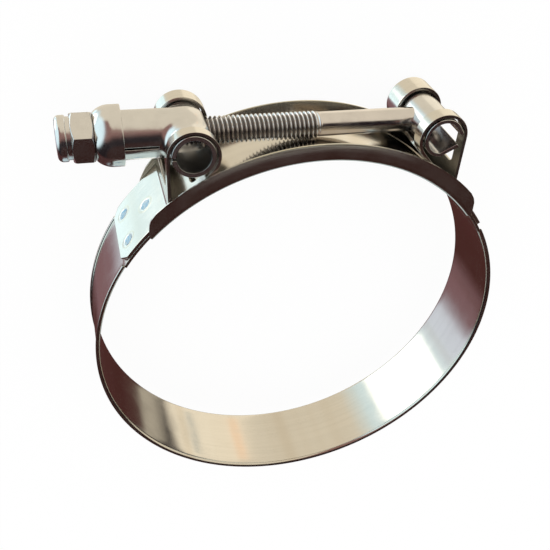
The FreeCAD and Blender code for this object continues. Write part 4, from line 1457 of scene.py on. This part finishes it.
def fitting_material(name, base):
    """Bright pressed steel: soft clouds in its gloss and a few small dark pits."""
    look = finishes()
    cloud_tint, pit_shade, cloud_gloss, pocket_gloss = 0.94, 0.3, 0.08, 0.16
    material, nodes, shader = new_material(name)
    place = nodes.add("ShaderNodeTexCoord").outputs["Object"]
    handled = nodes.group(mottle_group(), Vector=place, Cloud_size=260.0, Pit_amount=0.35).outputs
    inside = nodes.attribute("inside")
    steel = nodes.blend(handled["Clouds"], four(base), four(base, cloud_tint))
    # Painted shade: darker steel inside the tubes, the roll and the thread roots.
    steel = nodes.blend(inside, steel, four(base, look.painted_pocket_shade))
    steel = nodes.blend(handled["Pits"], steel, four(base, pit_shade))
    nodes.put(shader.inputs["Base Color"], steel)
    shader.inputs["Metallic"].default_value = 1.0
    rough = nodes.scaled(handled["Clouds"], cloud_gloss, look.fitting_roughness)
    nodes.put(shader.inputs["Roughness"], nodes.scaled(inside, pocket_gloss, rough))
    ripple = nodes.noise(place, 420.0, 2.0)
    bump = nodes.add("ShaderNodeBump", Strength=0.35, Distance=0.06 * MM, Height=ripple)
    nodes.put(shader.inputs["Normal"], bump.outputs["Normal"])
    return material


def nylon_material():
    """Off-white nylon with a faint moulded texture."""
    base = finishes().nylon_colour
    cloud_tint, cloud_gloss, gloss = 0.85, 0.1, 0.4
    material, nodes, shader = new_material("nylon")
    place = nodes.add("ShaderNodeTexCoord").outputs["Object"]
    clouds = nodes.group(mottle_group(), Vector=place, Cloud_size=500.0,
                         Pit_amount=0.1).outputs["Clouds"]
    nodes.put(shader.inputs["Base Color"], nodes.blend(clouds, four(base), four(base, cloud_tint)))
    nodes.put(shader.inputs["Roughness"], nodes.scaled(clouds, cloud_gloss, gloss))
    return material


# Stage

CAMERA_BACK = (-0.25005, 0.64082, 0.72583)  # from the bore's centre to the camera
CAMERA_RIGHT = (0.96105, 0.07314, 0.26651)  # the picture's right, before it is squared up
WHITE = (1.0, 1.0, 1.0, 1.0)


def view_axes():
    """Camera's right, up and backward directions, square to each other."""
    back, right = np.array(CAMERA_BACK), np.array(CAMERA_RIGHT)
    right -= back * (right @ back) / (back @ back)
    right /= np.linalg.norm(right)
    back /= np.linalg.norm(back)
    return right, np.cross(back, right), back


def make_camera():
    """Camera at the photograph's angle, looking at the bore's centre, framed by its shift."""
    stage = stage_settings()
    data = bpy.data.cameras.new("camera")
    data.sensor_width = 36.0
    data.lens = stage.focal
    data.shift_x = stage.shift_x
    data.shift_y = stage.shift_y
    data.clip_start = 5.0 * MM
    camera = bpy.data.objects.new("camera", data)
    axes = view_axes()
    turned = np.eye(4)
    turned[:3, :3] = np.stack(axes, axis=1)
    turned[:3, 3] = axes[2] * stage.distance
    camera.matrix_world = Matrix(turned.tolist())
    bpy.context.scene.collection.objects.link(camera)
    bpy.context.scene.camera = camera


@built_once("card",
            [("Direction", VECTOR, None), ("Centre", VECTOR, (0, 0, 1)), ("Edge", FLOAT, 0.5),
             ("Softness", FLOAT, 0.1)],
            [("Mask", FLOAT, None)])
def card_group(nodes, given):
    """A soft-edged round card in the surroundings: its mask for one direction.

    The cosine of the angle to the card's centre goes through a smooth step at the card's edge.
    """
    centre = nodes.vector("NORMALIZE", given["Centre"]).outputs["Vector"]
    toward = nodes.vector("DOT_PRODUCT", given["Direction"], centre).outputs["Value"]
    low = nodes.maths("SUBTRACT", given["Edge"], given["Softness"])
    high = nodes.maths("ADD", given["Edge"], given["Softness"])
    return {"Mask": nodes.band_pass(toward, low, high)}


def cards():
    """What stands round the clamp, each card over the ones before it.

    Each row is name, direction, half angle in degrees, softness, colour and brightness.
    """
    stage = stage_settings()
    wood, paper, window = stage.wood, stage.paper, stage.window
    return [
        ("wall", (0.20, -0.75, 0.63), 38, 0.04, stage.wall, 1.0),
        ("wood", (0.0, -0.75, -0.66), 62, 0.05, wood, 1.0),
        ("far gap", (0.22, -0.95, -0.22), 24, 0.02, window, 0.62),
        ("backdrop", (-0.45, 0.85, 0.28), 56, 0.17, stage.backdrop, 1.0),
        ("paper", (0.14, 0.62, -0.77), 60, 0.05, paper, 1.0),
        ("bench edge", (0.75, 0.66, -0.02), 58, 0.022, paper, 1.0),
        ("table edge", (-0.52, -0.40, -0.78), 17, 0.03, stage.edge, 1.0),
        ("window", (-0.85, 0.10, -0.52), 31.5, 0.05, stage.haze, 1.0),
        ("pane", (-0.50, 0.04, -0.865), 14.2, 0.006, window, 1.15),
        ("side pane", (-0.93, 0.33, 0.05), 43, 0.10, window, 1.0),
        ("pane beside the paper", (-0.70, 0.32, -0.62), 24, 0.05, window, 0.8),
        ("sky", (-0.73, 0.28, -0.62), 17.5, 0.008, stage.sky, 1.5),
        ("dark side", (0.86, 0.05, -0.51), 25, 0.03, stage.shade, 1.0),
        ("paper corner", (0.55, 0.30, -0.78), 21.5, 0.012, paper, 1.3),
        ("paper end", (0.715, -0.20, -0.67), 7, 0.006, paper, 0.62),
        ("slit", (0.733, 0.22, -0.643), 1.7, 0.0004, window, 0.30),
        ("peach", (0.536, 0.567, -0.626), 2.6, 0.0008, stage.peach, 1.0),
    ]


def make_world():
    """Plain white to the camera and to dull surfaces, and the cards to what the metal shows."""
    world = bpy.data.worlds.new("studio")
    bpy.context.scene.world = world
    world.use_nodes = True
    world.node_tree.nodes.clear()
    nodes = Nodes(world.node_tree)
    direction = nodes.add("ShaderNodeTexCoord").outputs["Generated"]
    group = card_group()
    room = four(stage_settings().room)
    for label, centre, half_angle, softness, tint, brightness in cards():
        card = nodes.group(group, Direction=direction, Centre=centre,
                           Edge=math.cos(math.radians(half_angle)), Softness=softness)
        card.label = label
        room = nodes.blend(card.outputs["Mask"], room, four(tint, brightness))
    path = nodes.add("ShaderNodeLightPath")
    seen = nodes.blend(path.outputs["Is Glossy Ray"], WHITE, room)
    light = nodes.add("ShaderNodeBackground", Color=seen, Strength=1.0)
    output = nodes.add("ShaderNodeOutputWorld")
    nodes.put(output.inputs["Surface"], light.outputs["Background"])


def make_floor():
    """Pale floor under the clamp: nearly plain white to the camera, with its faint shadow."""
    stage = stage_settings()
    half, gap = stage.floor_size / 2, 0.2 * MM
    low = CAD_BOUNDS[0][2] - gap
    corners = [(-half, -half, low), (half, -half, low), (half, half, low), (-half, half, low)]
    floor = new_mesh("floor", corners, [[0, 1, 2, 3]])
    material = bpy.data.materials.new("floor")
    material.use_nodes = True
    material.node_tree.nodes.clear()
    nodes = Nodes(material.node_tree)
    dull = nodes.add("ShaderNodeBsdfDiffuse", Color=WHITE)
    bright = nodes.add("ShaderNodeEmission", Color=WHITE, Strength=1.0)
    path = nodes.add("ShaderNodeLightPath")
    seen = nodes.product(path.outputs["Is Camera Ray"], stage.floor_glow)
    mix = nodes.add("ShaderNodeMixShader", Fac=seen)
    nodes.put(mix.inputs[1], dull.outputs[0])
    nodes.put(mix.inputs[2], bright.outputs[0])
    output = nodes.add("ShaderNodeOutputMaterial")
    nodes.put(output.inputs["Surface"], mix.outputs[0])
    floor.data.materials.append(material)
    floor.visible_glossy = False


class ClampStage(bpy.types.Operator):
    """Build the camera, the surroundings and the floor"""
    bl_idname = "clamp.stage"
    bl_label = "Stage"

    def execute(self, context):
        context.scene.view_settings.view_transform = "Standard"
        make_camera()
        make_world()
        make_floor()
        return {"FINISHED"}


class ClampPanel(bpy.types.Panel):
    """Lists the operators that build the clamp"""
    bl_idname = "VIEW3D_PT_clamp"
    bl_label = "T-bolt clamp"
    bl_space_type = "VIEW_3D"
    bl_region_type = "UI"
    bl_category = "T-bolt clamp"

    def draw(self, context):
        for step in STEPS:
            self.layout.operator(step.bl_idname)


STEPS = (ClampStage, ClampBand, ClampBridge, ClampTee, ClampCap, ClampNut, ClampBolt)
GROUPS = {
    "clamp_band": BandSizes,
    "clamp_fittings": FittingSizes,
    "clamp_bolt": BoltSizes,
    "clamp_finishes": Finishes,
    "clamp_stage": StageSettings,
}


def register():
    """Register the classes and hang the sizes and colours on the scene."""
    for group in GROUPS.values():
        bpy.utils.register_class(group)
    for name, group in GROUPS.items():
        setattr(bpy.types.Scene, name, PointerProperty(type=group))
    for step in STEPS:
        bpy.utils.register_class(step)
    bpy.utils.register_class(ClampPanel)


def unregister():
    """Take the classes and the scene's properties off again."""
    bpy.utils.unregister_class(ClampPanel)
    for step in reversed(STEPS):
        bpy.utils.unregister_class(step)
    for name in GROUPS:
        delattr(bpy.types.Scene, name)
    for group in reversed(GROUPS.values()):
        bpy.utils.unregister_class(group)


def main():
    """Build every piece and the stage, then write down what the script made."""
    register()
    for step in STEPS:
        area, name = step.bl_idname.split(".")
        getattr(getattr(bpy.ops, area), name)()
    bpy.context.view_layer.update()


if __name__ == "__main__":
    main()
